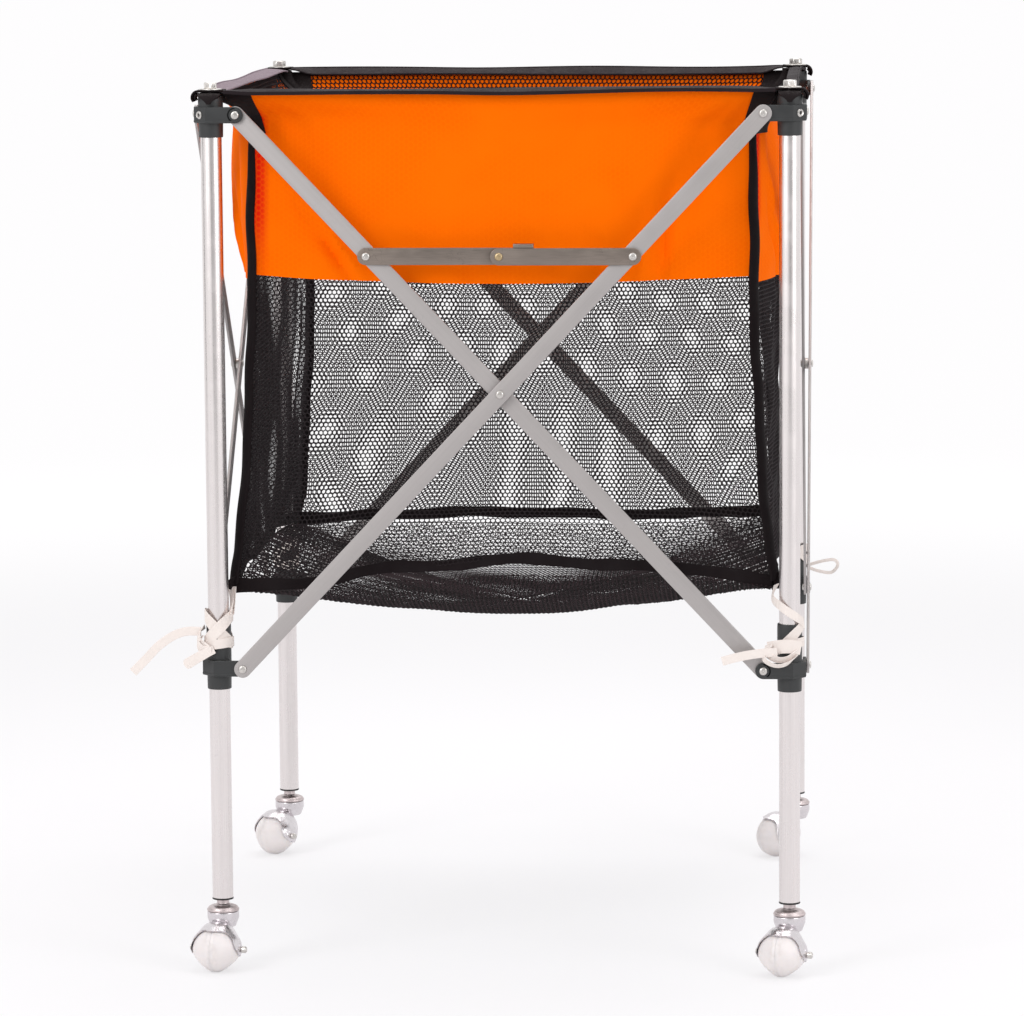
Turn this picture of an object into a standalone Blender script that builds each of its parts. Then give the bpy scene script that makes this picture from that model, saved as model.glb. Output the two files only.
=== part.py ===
"""Folding mesh trolley: four wheeled legs, crossed braces on each side, and a square mesh bag.

Metres, +Z up, +X to the right and +Y to the back. The four sides are alike under a quarter turn about the
middle of the frame, so each piece is made once in a leg's own frame and placed four times. In a leg's frame
the leg's axis is Z, +X runs along the side that starts at this leg, and +Y along the side that ends at it.
"""

from math import acos, asin, atan2, cos, degrees, hypot, pi, radians, sin, tan

import bmesh
import bpy
from mathutils import Matrix, Vector

# Gap kept between pieces that touch, and how far shapes joined into one piece run into each other
CLEARANCE = 0.0003
SINK = 0.0003

# How far a cutter runs past what it cuts
CUT_PAST = 0.0100

# Points nearer than this are one
WELD = 0.000001

# Middle of the frame, seen from the middle of the outline with its casters turned as they stand
FRAME_MIDDLE_X = 0.0090
FRAME_MIDDLE_Y = 0.0140

# Frame
LEG_SPACING = 0.600
FOLDED_SPACING = 0.120
TUBE_LENGTH = 0.8471
TUBE_RADIUS = 0.0110
TUBE_WALL = 0.0012
PIVOT_BELOW_TOP = 0.0192
PIVOT_DROP = 0.580
EAR_REACH = 0.0272

# Brackets on the tubes
SLEEVE_WALL = 0.0015
SLEEVE_BORE_CLEARANCE = 0.0005
TOP_SLEEVE_BELOW = 0.0234
SLIDER_SLEEVE_ABOVE = 0.0480
SLIDER_SLEEVE_BELOW = 0.0232
BAND_HEIGHT = 0.0168
EAR_OUTER_FACE = 0.0170
EAR_THICKNESS = 0.0035
BAND_CHAMFER = 0.0130
BAND_INNER_END = 0.0120
BAND_INNER_SHOULDER = 0.0050
EAR_ROUND_MARGIN = 0.0001

# Braces and rivets
BRACE_WIDTH = 0.0180
BRACE_THICKNESS = 0.0030
RIVET_RADIUS = 0.0024
RIVET_HOLE_CLEARANCE = 0.0005
RIVET_HEAD_RADIUS = 0.0043
RIVET_HEAD_TOP_RADIUS = 0.0026
RIVET_HEAD_HEIGHT = 0.0016
WASHER_RADIUS = 0.0060

# Two-link stay on the front
STAY_FROM_CROSSING = 0.2010
STAY_HEIGHT = 0.0177
STAY_THICKNESS = 0.0027
STAY_OVERLAP = 0.0360
LUG_LENGTH = 0.0210
LUG_HEIGHT = 0.0040

# Pegs on the leg tops
PEG_PLUG_DEPTH = 0.0300
PEG_STUD_RADIUS = 0.0040
PEG_WASHER_RADIUS = 0.0118
PEG_WASHER_THICKNESS = 0.0016
PEG_NUT_RADIUS = 0.0075
PEG_NUT_HEIGHT = 0.0081
PEG_NUT_CHAMFER = 0.0011
PEG_NUT_SIDES = 6

# Casters
WHEEL_RADIUS = 0.0250
WHEEL_HALF_WIDTH = 0.0250
WHEEL_RIM_HALF_WIDTH = 0.0020
WHEEL_SHOULDER_AT = 0.0107
WHEEL_SHOULDER_RADIUS = 0.0202
WHEEL_CONE_AT = 0.0180
WHEEL_CONE_RADIUS = 0.0150
WHEEL_END_RADIUS = 0.0050
AXLE_RADIUS = 0.0022
AXLE_HOLE_CLEARANCE = 0.0004
AXLE_KNOB_RADIUS = 0.0036
AXLE_KNOB_LENGTH = 0.0056
AXLE_KNOB_CHAMFER = 0.0014
AXLE_HEAD_RADIUS = 0.0033
AXLE_HEAD_LENGTH = 0.0014
HOOD_WHEEL_GAP = 0.0012
HOOD_WALL = 0.0012
HOOD_FRONT_ANGLE = radians(39)
HOOD_BACK_ANGLE = radians(20)
HOOD_LIP_DROP = 0.0060
CASTER_TRAIL = 0.0240
HOUSING_RADIUS = 0.0168
HOUSING_TOP_ABOVE_AXLE = 0.0336
HOUSING_HEIGHT = 0.0145
CAP_RADIUS = 0.0170
CAP_HEIGHT = 0.0093
CAP_RIM_HEIGHT = 0.0018
NECK_RADIUS = 0.0065
NECK_LENGTH = 0.0055
PLUG_RIM_THICKNESS = 0.0014
PLUG_RIM_OVERHANG = 0.0003
PLUG_DEPTH = 0.0300
SWIVEL_PIN_RADIUS = 0.0050
SWIVEL_PIN_LENGTH = 0.0080
SWIVEL_BORE_CLEARANCE = 0.0005
SWIVEL_END_CLEARANCE = 0.0008
CASTER_TURNS = {
    "front_left": radians(11),
    "front_right": radians(18),
    "rear_right": radians(63),
    "rear_left": radians(39),
}

# Bag
CLOTH_THICKNESS = 0.0020
BAG_DROP = 0.5160
RIM_BELOW_TAB_TOP = 0.0005
RIM_END_FROM_LEG = 0.0145
RIM_INSET = 0.0020
CORNER_INSET = 0.0380
CORNER_DEPTH = 0.0400
FOOT_INSET = 0.0130
SIDE_INSET = 0.0120
CORNER_CURVE = 3
TOP_ROWS_CLOSER = 0.65
FLOOR_SAG = 0.0565
FLOOR_ROUNDNESS = 4
HEM_ROWS_CLOSER = 1.5
SEAM_GAP = 0.0015
FLOOR_CENTRE_GAP = 0.0060
TAB_THICKNESS = 0.0022
TAB_WIDTH = 0.0240
TAB_REACH = 0.0180
TAB_LIP_DROP = 0.0080
TAB_LIP_THICKNESS = 0.0016
HEM_RISES = {"front": 0.0270, "right": 0.0100, "rear": 0.0030, "left": 0.0100}

# Ties round the legs, just over the slider sleeves
TIE_WALL = 0.0017
TIE_HEIGHT = 0.0400
TIE_ABOVE_PIVOT = 0.0146
TIE_STRAP_WIDTH = 0.0100
TIE_STRAP_THICKNESS = 0.0018
KNOT_WIDTH = 0.0240
KNOT_HEIGHT = 0.0260
KNOT_DEPTH = 0.0110
TAPE_WIDTH = 0.0095
TAPE_THICKNESS = 0.0008
TAPE_STEP = 0.0040

# Facets of the round pieces
TUBE_SIDES = 16
RIVET_SIDES = 8
WHEEL_SIDES = 16
CASTER_SIDES = 16
ROUND_END_STEPS = 5
DOME_STEPS = 3
PANEL_GRID = 6
GORE_GRID = 5
ROUTE_STEPS = 12

# Size at which the empties are drawn
EMPTY_SIZE = 0.0200

# Edges that bend more than this stay sharp
SHARP_ANGLE = radians(35)

LEGS = ("front_left", "front_right", "rear_right", "rear_left")
SIDES = ("front", "right", "rear", "left")

# Worked out from the sizes above
AXLE_HEIGHT = WHEEL_RADIUS
HOUSING_TOP = AXLE_HEIGHT + HOUSING_TOP_ABOVE_AXLE
CAP_BOTTOM = HOUSING_TOP + CLEARANCE
CAP_TOP = CAP_BOTTOM + CAP_HEIGHT
PLUG_RIM_BOTTOM = CAP_TOP + NECK_LENGTH
TUBE_BOTTOM = PLUG_RIM_BOTTOM + PLUG_RIM_THICKNESS + CLEARANCE
TUBE_TOP = TUBE_BOTTOM + TUBE_LENGTH
TOP_PIVOT = TUBE_TOP - PIVOT_BELOW_TOP
LOW_PIVOT = TOP_PIVOT - PIVOT_DROP
CROSSING = (TOP_PIVOT + LOW_PIVOT) / 2
HALF_SPACING = LEG_SPACING / 2
PIVOT_SPAN = LEG_SPACING - 2 * EAR_REACH
BRACE_LENGTH = hypot(PIVOT_SPAN, PIVOT_DROP)
BRACE_LEAN = atan2(PIVOT_SPAN, PIVOT_DROP)
FOLD_ANGLE = BRACE_LEAN - asin((FOLDED_SPACING - 2 * EAR_REACH) / BRACE_LENGTH)
BORE_RADIUS = TUBE_RADIUS + SLEEVE_BORE_CLEARANCE
SLEEVE_RADIUS = BORE_RADIUS + SLEEVE_WALL
EAR_INNER_FACE = EAR_OUTER_FACE - EAR_THICKNESS
RIVET_HOLE_RADIUS = RIVET_RADIUS + RIVET_HOLE_CLEARANCE
AXLE_HOLE_RADIUS = AXLE_RADIUS + AXLE_HOLE_CLEARANCE
PLUG_RADIUS = TUBE_RADIUS - TUBE_WALL - CLEARANCE

# Layers outward from the plane of the leg axes, as (near face, far face)
INNER_BRACE = (EAR_INNER_FACE - CLEARANCE - BRACE_THICKNESS, EAR_INNER_FACE - CLEARANCE)
OUTER_BRACE = (EAR_OUTER_FACE + CLEARANCE, EAR_OUTER_FACE + CLEARANCE + BRACE_THICKNESS)
LEFT_STAY = (INNER_BRACE[1] + CLEARANCE, INNER_BRACE[1] + CLEARANCE + STAY_THICKNESS)
RIGHT_STAY = (OUTER_BRACE[1] + CLEARANCE, OUTER_BRACE[1] + CLEARANCE + STAY_THICKNESS)

STAY_SPAN = STAY_FROM_CROSSING * sin(BRACE_LEAN)
STAY_PIVOT_HEIGHT = CROSSING + STAY_FROM_CROSSING * cos(BRACE_LEAN)
TAB_BOTTOM = TUBE_TOP + CLEARANCE
TAB_TOP = TAB_BOTTOM + TAB_THICKNESS
RIM_HEIGHT = TAB_TOP - RIM_BELOW_TAB_TOP
FOOT_HEIGHT = RIM_HEIGHT - BAG_DROP

# Across a leg's frame, so that (x, y) becomes (y, x)
ACROSS = Matrix(((0, 1, 0, 0), (1, 0, 0, 0), (0, 0, 1, 0), (0, 0, 0, 1)))


def finish(name, colour, roughness, metallic=0.0):
    """Principled material with one colour."""
    material = bpy.data.materials.new(name)
    material.use_nodes = True
    shader = material.node_tree.nodes["Principled BSDF"]
    shader.inputs["Base Color"].default_value = (*colour, 1.0)
    shader.inputs["Roughness"].default_value = roughness
    shader.inputs["Metallic"].default_value = metallic
    return material


def clear_scene():
    for obj in list(bpy.data.objects):
        bpy.data.objects.remove(obj, do_unlink=True)


def new_collection(name):
    collection = bpy.data.collections.new(name)
    bpy.context.scene.collection.children.link(collection)
    return collection


clear_scene()
TROLLEY = new_collection("folding_mesh_trolley")
BENCH = new_collection("construction")

FINISHES = {
    "aluminium": finish("satin_aluminium", (0.62, 0.60, 0.60), 0.38, 1.0),
    "plastic": finish("charcoal_plastic", (0.028, 0.028, 0.028), 0.45),
    "steel": finish("worn_steel", (0.30, 0.26, 0.23), 0.42, 1.0),
    "zinc": finish("zinc_plated_steel", (0.70, 0.70, 0.68), 0.30, 1.0),
    "chrome": finish("chrome", (0.78, 0.77, 0.76), 0.12, 1.0),
    "wheel": finish("white_nylon", (0.80, 0.77, 0.75), 0.40),
    "mesh": finish("black_mesh", (0.020, 0.018, 0.018), 0.85),
    "webbing": finish("black_webbing", (0.022, 0.018, 0.018), 0.90),
    "tape": finish("cotton_tape", (0.86, 0.81, 0.76), 0.90),
}


# Modelling helpers


def baked(obj, name, flat=False):
    """Turn a working object into a plain welded mesh, in world space, and remove the object.

    A flat piece's faces are merged, so that each cap is one face.
    """
    bpy.context.view_layer.update()
    graph = bpy.context.evaluated_depsgraph_get()
    mesh = bpy.data.meshes.new_from_object(obj.evaluated_get(graph))
    mesh.name = name
    mesh.transform(obj.matrix_world)
    bpy.data.objects.remove(obj)
    tidy = bmesh.new()
    tidy.from_mesh(mesh)
    bmesh.ops.remove_doubles(tidy, verts=tidy.verts, dist=WELD)
    if flat:
        bmesh.ops.dissolve_limit(tidy, angle_limit=radians(1), verts=tidy.verts, edges=tidy.edges)
    bmesh.ops.recalc_face_normals(tidy, faces=tidy.faces)
    tidy.to_mesh(mesh)
    tidy.free()
    return mesh


def on_bench(name, data):
    obj = bpy.data.objects.new(name, data)
    BENCH.objects.link(obj)
    return obj


def moved(mesh, matrix):
    """Copy of a mesh under a matrix."""
    copy = mesh.copy()
    copy.transform(matrix)
    if matrix.determinant() < 0:
        copy.flip_normals()
    return copy


def combined(name, base, tools, operation):
    """Boolean of a mesh with others, one after the other."""
    body = on_bench(name, base)
    helpers = []
    for tool in tools:
        helper = on_bench(f"{name}_tool", tool)
        helper.hide_render = True
        helper.display_type = "WIRE"
        modifier = body.modifiers.new("boolean", "BOOLEAN")
        modifier.operation = operation
        modifier.solver = "EXACT"
        modifier.object = helper
        helpers.append(helper)
    mesh = baked(body, name)
    for helper in helpers:
        bpy.data.objects.remove(helper)
    return mesh


def joined(name, base, *tools):
    return combined(name, base, tools, "UNION")


def cut(name, base, *tools):
    return combined(name, base, tools, "DIFFERENCE")


def turned(name, profile, sides, ring=False):
    """Solid turned about Z from (radius, height) points, listed down the outer side; a ring closes."""
    count = len(profile)
    edges = [(i, i + 1) for i in range(count - 1)]
    if ring:
        edges.append((count - 1, 0))
    mesh = bpy.data.meshes.new(name)
    mesh.from_pydata([(radius, 0, height) for radius, height in profile], edges, [])
    obj = on_bench(name, mesh)
    screw = obj.modifiers.new("turn", "SCREW")
    screw.angle = 2 * pi
    screw.steps = sides
    screw.render_steps = sides
    screw.use_merge_vertices = True
    screw.merge_threshold = WELD
    return baked(obj, name)


def rod(name, radius, low, high, sides):
    return turned(name, [(0, high), (radius, high), (radius, low), (0, low)], sides)


def plate(name, outline, thickness):
    """Flat piece in the XY plane, centred on it."""
    curve = bpy.data.curves.new(name, "CURVE")
    curve.dimensions = "2D"
    curve.fill_mode = "BOTH"
    curve.extrude = thickness / 2
    spline = curve.splines.new("POLY")
    spline.points.add(len(outline) - 1)
    for point, (x, y) in zip(spline.points, outline):
        point.co = (x, y, 0, 1)
    spline.use_cyclic_u = True
    return baked(on_bench(name, curve), name, flat=True)


def box(name, low, high):
    cube = bmesh.new()
    size = Vector(high) - Vector(low)
    middle = (Vector(high) + Vector(low)) / 2
    bmesh.ops.create_cube(cube, size=1.0, matrix=Matrix.Translation(middle) @ Matrix.Diagonal((*size, 1)))
    mesh = bpy.data.meshes.new(name)
    cube.to_mesh(mesh)
    cube.free()
    return mesh


def sheet(name, point, columns, rows, thickness):
    """Cloth whose middle surface is point(u, v), with u and v from -1 to 1."""
    grid = bmesh.new()
    bmesh.ops.create_grid(grid, x_segments=columns, y_segments=rows, size=1.0)
    for vertex in grid.verts:
        vertex.co = point(vertex.co.x, vertex.co.y)
    mesh = bpy.data.meshes.new(name)
    grid.to_mesh(mesh)
    grid.free()
    obj = on_bench(name, mesh)
    shell = obj.modifiers.new("cloth", "SOLIDIFY")
    shell.thickness = thickness
    shell.offset = 0
    return baked(obj, name)


def arc(middle, radius, start, end, steps):
    """Points of an arc about a middle, ends included, in degrees."""
    turns = [radians(start + (end - start) * i / steps) for i in range(steps + 1)]
    return [(middle[0] + radius * cos(a), middle[1] + radius * sin(a)) for a in turns]


def bar_outline(start, end, half_width):
    """Bar along X with round ends about its two end points."""
    return arc((end, 0), half_width, -90, 90, ROUND_END_STEPS) + arc(
        (start, 0), half_width, 90, 270, ROUND_END_STEPS
    )


def facing_out(x, z, outward):
    """Matrix that takes a piece made about Z to a place on a side, with its Z turned outward, to -Y."""
    return Matrix.Translation((x, -outward, z)) @ Matrix.Rotation(pi / 2, 4, "X")


def rivet(name, near, far, washer_to=None):
    """Rivet about Z with a head outside each of two faces; a washer fills the gap above the near piece."""
    profile = [
        (0, far + RIVET_HEAD_HEIGHT),
        (RIVET_HEAD_TOP_RADIUS, far + RIVET_HEAD_HEIGHT),
        (RIVET_HEAD_RADIUS, far),
        (RIVET_RADIUS, far),
    ]
    if washer_to is not None:
        low, high = washer_to
        profile += [(RIVET_RADIUS, high), (WASHER_RADIUS, high), (WASHER_RADIUS, low), (RIVET_RADIUS, low)]
    profile += [
        (RIVET_RADIUS, near),
        (RIVET_HEAD_RADIUS, near),
        (RIVET_HEAD_TOP_RADIUS, near - RIVET_HEAD_HEIGHT),
        (0, near - RIVET_HEAD_HEIGHT),
    ]
    return turned(name, profile, RIVET_SIDES)


def shaded(mesh, material):
    mesh.materials.clear()
    mesh.materials.append(FINISHES[material])
    mesh.shade_smooth()
    mesh.set_sharp_from_angle(angle=SHARP_ANGLE)
    return mesh


# Pieces of the frame, in a leg's own frame


def leg_tube():
    bore = TUBE_RADIUS - TUBE_WALL
    profile = [(bore, TUBE_TOP), (TUBE_RADIUS, TUBE_TOP), (TUBE_RADIUS, TUBE_BOTTOM), (bore, TUBE_BOTTOM)]
    return shaded(turned("tube", profile, TUBE_SIDES, ring=True), "aluminium")


def bracket(name, sleeve_low, sleeve_high, first_ear_outer, fixing_rivet):
    """Sleeve with a band and two ears at a right angle, about a pivot height of zero.

    The ear along +X holds an outer brace where first_ear_outer is true, and the other ear the other kind.
    """
    half_band = BAND_HEIGHT / 2
    sleeve = rod(name, SLEEVE_RADIUS, sleeve_low, sleeve_high, TUBE_SIDES)
    corner = BAND_CHAMFER - EAR_OUTER_FACE
    ear_end = EAR_REACH + half_band
    along_x = [
        (corner, -EAR_OUTER_FACE),
        (ear_end, -EAR_OUTER_FACE),
        (ear_end, -EAR_INNER_FACE),
        (BAND_INNER_END, -EAR_INNER_FACE),
        (BAND_INNER_END, -BAND_INNER_SHOULDER),
    ]
    plan = along_x + [(y, x) for x, y in reversed(along_x)]
    band = plate(f"{name}_band", plan, BAND_HEIGHT)
    # Rounds one ear's end and leaves the rest of the band whole
    radius = half_band + EAR_ROUND_MARGIN
    far = 2 * ear_end
    profile = [(-far, -radius)] + arc((EAR_REACH, 0), radius, -90, 90, ROUND_END_STEPS) + [(-far, radius)]
    rounding = moved(plate(f"{name}_rounding", profile, 2 * far), facing_out(0, 0, 0))
    band = combined(f"{name}_band", band, [rounding, moved(rounding, ACROSS)], "INTERSECT")
    body = joined(name, sleeve, band)
    bore = rod(f"{name}_bore", BORE_RADIUS, sleeve_low - CUT_PAST, sleeve_high + CUT_PAST, TUBE_SIDES)
    body = cut(name, body, bore)
    inner = rivet(f"{name}_inner_rivet", INNER_BRACE[0] - CLEARANCE, EAR_OUTER_FACE - SINK)
    outer = rivet(f"{name}_outer_rivet", EAR_INNER_FACE + SINK, OUTER_BRACE[1] + CLEARANCE)
    place = facing_out(EAR_REACH, 0, 0)
    first, second = (outer, inner) if first_ear_outer else (inner, outer)
    rivets = [moved(first, place), moved(moved(second, place), ACROSS)]
    if fixing_rivet:
        face = (2 * EAR_OUTER_FACE - BAND_CHAMFER) / 2
        head = turned(
            f"{name}_fixing_rivet",
            [
                (0, RIVET_HEAD_HEIGHT),
                (RIVET_HEAD_TOP_RADIUS, RIVET_HEAD_HEIGHT),
                (RIVET_HEAD_RADIUS, -SINK),
                (0, -SINK),
            ],
            RIVET_SIDES,
        )
        turn = Matrix.Rotation(radians(-45), 4, "Z") @ Matrix.Rotation(pi / 2, 4, "X")
        rivets.append(moved(head, Matrix.Translation((-face, -face, 0)) @ turn))
    return shaded(joined(name, body, *rivets), "plastic")


def rivet_hole(at, layer):
    """Cutter through a layer, at a place along X."""
    low, high = layer[0] - CUT_PAST, layer[1] + CUT_PAST
    hole = rod("rivet_hole", RIVET_HOLE_RADIUS, low, high, RIVET_SIDES)
    return moved(hole, Matrix.Translation((at, 0, 0)))


def brace(name, layer, rivets):
    """Flat bar made along X about the crossing, its face at the layer's middle, with its two pivot holes.

    Each entry of rivets is (place along the bar, the rivet's mesh or None for a plain hole).
    """
    half = BRACE_LENGTH / 2
    holes = [-half, half] + [at for at, mesh in rivets if mesh is None]
    bar = plate(name, bar_outline(-half, half, BRACE_WIDTH / 2), BRACE_THICKNESS)
    bar = moved(bar, Matrix.Translation((0, 0, sum(layer) / 2)))
    bar = cut(name, bar, *[rivet_hole(at, layer) for at in holes])
    fixed = [moved(mesh, Matrix.Translation((at, 0, 0))) for at, mesh in rivets if mesh is not None]
    if fixed:
        bar = joined(name, bar, *fixed)
    return bar


def brace_place(side_turn, outer):
    """World matrix of a brace made along X: an inner brace falls along its side, an outer one rises."""
    rise = pi / 2 - BRACE_LEAN if outer else BRACE_LEAN - pi / 2
    return (
        side_turn
        @ Matrix.Translation((0, -HALF_SPACING, CROSSING))
        @ Matrix.Rotation(pi / 2, 4, "X")
        @ Matrix.Rotation(rise, 4, "Z")
    )


def inner_braces():
    """Mesh of the plain inner brace, and of the front one, which holds the left stay's rivet."""
    crossing = rivet(
        "crossing_rivet",
        INNER_BRACE[0] + SINK,
        OUTER_BRACE[1] + CLEARANCE,
        washer_to=(INNER_BRACE[1] - SINK, OUTER_BRACE[0] - CLEARANCE),
    )
    stay = rivet("left_stay_rivet", INNER_BRACE[0] + SINK, LEFT_STAY[1] + CLEARANCE)
    plain = brace("inner_brace", INNER_BRACE, [(0, crossing)])
    front = brace("front_inner_brace", INNER_BRACE, [(0, crossing), (-STAY_FROM_CROSSING, stay)])
    return shaded(plain, "aluminium"), shaded(front, "aluminium")


def outer_braces():
    """Mesh of the plain outer brace, and of the front one, which holds the right stay's rivet."""
    stay = rivet("right_stay_rivet", OUTER_BRACE[0] + SINK, RIGHT_STAY[1] + CLEARANCE)
    plain = brace("outer_brace", OUTER_BRACE, [(0, None)])
    front = brace("front_outer_brace", OUTER_BRACE, [(0, None), (STAY_FROM_CROSSING, stay)])
    return shaded(plain, "aluminium"), shaded(front, "aluminium")


def left_stay():
    """Bar from its pivot at zero along +X, past the middle rivet, with the lug that stops the right bar."""
    half = STAY_HEIGHT / 2
    end = STAY_SPAN + STAY_OVERLAP
    outline = arc((0, 0), half, 90, 270, ROUND_END_STEPS) + [(end, -half), (end, half)]
    bar = plate("left_stay", outline, STAY_THICKNESS)
    bar = moved(bar, Matrix.Translation((0, 0, sum(LEFT_STAY) / 2)))
    bar = cut("left_stay", bar, rivet_hole(0, LEFT_STAY))
    lug_low = half + CLEARANCE
    post = box(
        "lug_post",
        (end - LUG_LENGTH + SINK, 0, LEFT_STAY[0] + SINK),
        (end - SINK, lug_low + LUG_HEIGHT / 2, LEFT_STAY[1] - SINK),
    )
    lug = box(
        "lug", (end - LUG_LENGTH, lug_low, LEFT_STAY[0]), (end, lug_low + LUG_HEIGHT, RIGHT_STAY[1])
    )
    tail = turned(
        "left_stay_tail",
        [
            (0, LEFT_STAY[0] + SINK),
            (RIVET_HEAD_RADIUS, LEFT_STAY[0] + SINK),
            (RIVET_HEAD_TOP_RADIUS, LEFT_STAY[0] - RIVET_HEAD_HEIGHT),
            (0, LEFT_STAY[0] - RIVET_HEAD_HEIGHT),
        ],
        RIVET_SIDES,
    )
    tail = moved(tail, Matrix.Translation((STAY_SPAN, 0, 0)))
    return shaded(joined("left_stay", bar, post, lug, tail), "steel")


def right_stay():
    """Bar from its pivot at zero along -X, with the middle rivet and its spacer."""
    half = STAY_HEIGHT / 2
    bar = plate("right_stay", bar_outline(-STAY_SPAN, 0, half), STAY_THICKNESS)
    bar = moved(bar, Matrix.Translation((0, 0, sum(RIGHT_STAY) / 2)))
    bar = cut("right_stay", bar, rivet_hole(0, RIGHT_STAY))
    middle = turned(
        "middle_rivet",
        [
            (0, RIGHT_STAY[1] + RIVET_HEAD_HEIGHT),
            (RIVET_HEAD_TOP_RADIUS, RIGHT_STAY[1] + RIVET_HEAD_HEIGHT),
            (RIVET_HEAD_RADIUS, RIGHT_STAY[1] - SINK),
            (RIVET_RADIUS, RIGHT_STAY[1] - SINK),
            (RIVET_RADIUS, RIGHT_STAY[0] + SINK),
            (WASHER_RADIUS, RIGHT_STAY[0] + SINK),
            (WASHER_RADIUS, LEFT_STAY[1] + CLEARANCE),
            (0, LEFT_STAY[1] + CLEARANCE),
        ],
        RIVET_SIDES,
    )
    middle = moved(middle, Matrix.Translation((-STAY_SPAN, 0, 0)))
    return shaded(joined("right_stay", bar, middle), "steel")


def peg():
    washer_low = TAB_TOP + CLEARANCE
    washer_high = washer_low + PEG_WASHER_THICKNESS
    post = turned(
        "peg",
        [
            (0, washer_high + PEG_NUT_HEIGHT / 2),
            (PEG_STUD_RADIUS, washer_high + PEG_NUT_HEIGHT / 2),
            (PEG_STUD_RADIUS, washer_high),
            (PEG_WASHER_RADIUS, washer_high),
            (PEG_WASHER_RADIUS, washer_low),
            (PEG_STUD_RADIUS, washer_low),
            (PEG_STUD_RADIUS, TUBE_TOP),
            (PLUG_RADIUS, TUBE_TOP),
            (PLUG_RADIUS, TUBE_TOP - PEG_PLUG_DEPTH),
            (0, TUBE_TOP - PEG_PLUG_DEPTH),
        ],
        TUBE_SIDES,
    )
    nut = turned(
        "nut",
        [
            (0, washer_high + PEG_NUT_HEIGHT),
            (PEG_NUT_RADIUS - PEG_NUT_CHAMFER, washer_high + PEG_NUT_HEIGHT),
            (PEG_NUT_RADIUS, washer_high + PEG_NUT_HEIGHT - PEG_NUT_CHAMFER),
            (PEG_NUT_RADIUS, washer_high - PEG_WASHER_THICKNESS / 2),
            (0, washer_high - PEG_WASHER_THICKNESS / 2),
        ],
        PEG_NUT_SIDES,
    )
    return shaded(joined("peg", post, nut), "zinc")


# Casters, with the swivel axis on Z and the wheel trailing to -Y


def caster_stem():
    plug_top = TUBE_BOTTOM + PLUG_DEPTH
    rim_radius = TUBE_RADIUS + PLUG_RIM_OVERHANG
    rim_top = TUBE_BOTTOM - CLEARANCE
    rim = CAP_BOTTOM + CAP_RIM_HEIGHT
    turns = [pi / 2 * i / DOME_STEPS for i in range(DOME_STEPS + 1)]
    dome = [
        (NECK_RADIUS + (CAP_RADIUS - NECK_RADIUS) * sin(turn), rim + (CAP_TOP - rim) * cos(turn))
        for turn in turns
    ]
    pin_bottom = CAP_BOTTOM - SWIVEL_PIN_LENGTH
    profile = [
        (0, plug_top),
        (PLUG_RADIUS, plug_top),
        (PLUG_RADIUS, rim_top),
        (rim_radius, rim_top),
        (rim_radius, PLUG_RIM_BOTTOM),
        (NECK_RADIUS, PLUG_RIM_BOTTOM),
        *dome,
        (CAP_RADIUS, CAP_BOTTOM),
        (SWIVEL_PIN_RADIUS, CAP_BOTTOM),
        (SWIVEL_PIN_RADIUS, pin_bottom),
        (0, pin_bottom),
    ]
    return shaded(turned("caster_stem", profile, CASTER_SIDES), "chrome")


def wheel_profile(grown=0.0):
    """(radius, place along the axle) of the wheel's outside, grown by an even gap."""
    half = [
        (WHEEL_RADIUS + grown, WHEEL_RIM_HALF_WIDTH),
        (WHEEL_SHOULDER_RADIUS + grown, WHEEL_SHOULDER_AT + grown / 2),
        (WHEEL_CONE_RADIUS + grown, WHEEL_CONE_AT + grown),
        (WHEEL_END_RADIUS + grown, WHEEL_HALF_WIDTH + grown),
    ]
    facet = cos(pi / WHEEL_SIDES)
    upper = [(radius / facet, at) for radius, at in reversed(half)]
    lower = [(radius / facet, -at) for radius, at in half]
    return upper + lower


def about_axle(mesh):
    """Turn a piece made about Z to lie on the axle, along X, with a flat facet at the bottom."""
    facet = Matrix.Rotation(pi / WHEEL_SIDES, 4, "Z")
    return moved(mesh, Matrix.Rotation(pi / 2, 4, "Y") @ facet)


def ball_wheel():
    """Wheel about its own middle."""
    profile = wheel_profile()
    profile = [(AXLE_HOLE_RADIUS, WHEEL_HALF_WIDTH)] + profile + [(AXLE_HOLE_RADIUS, -WHEEL_HALF_WIDTH)]
    return shaded(about_axle(turned("ball_wheel", profile, WHEEL_SIDES, ring=True)), "wheel")


def closed_profile(grown):
    end = WHEEL_HALF_WIDTH + grown
    return [(0, end)] + wheel_profile(grown) + [(0, -end)]


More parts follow.
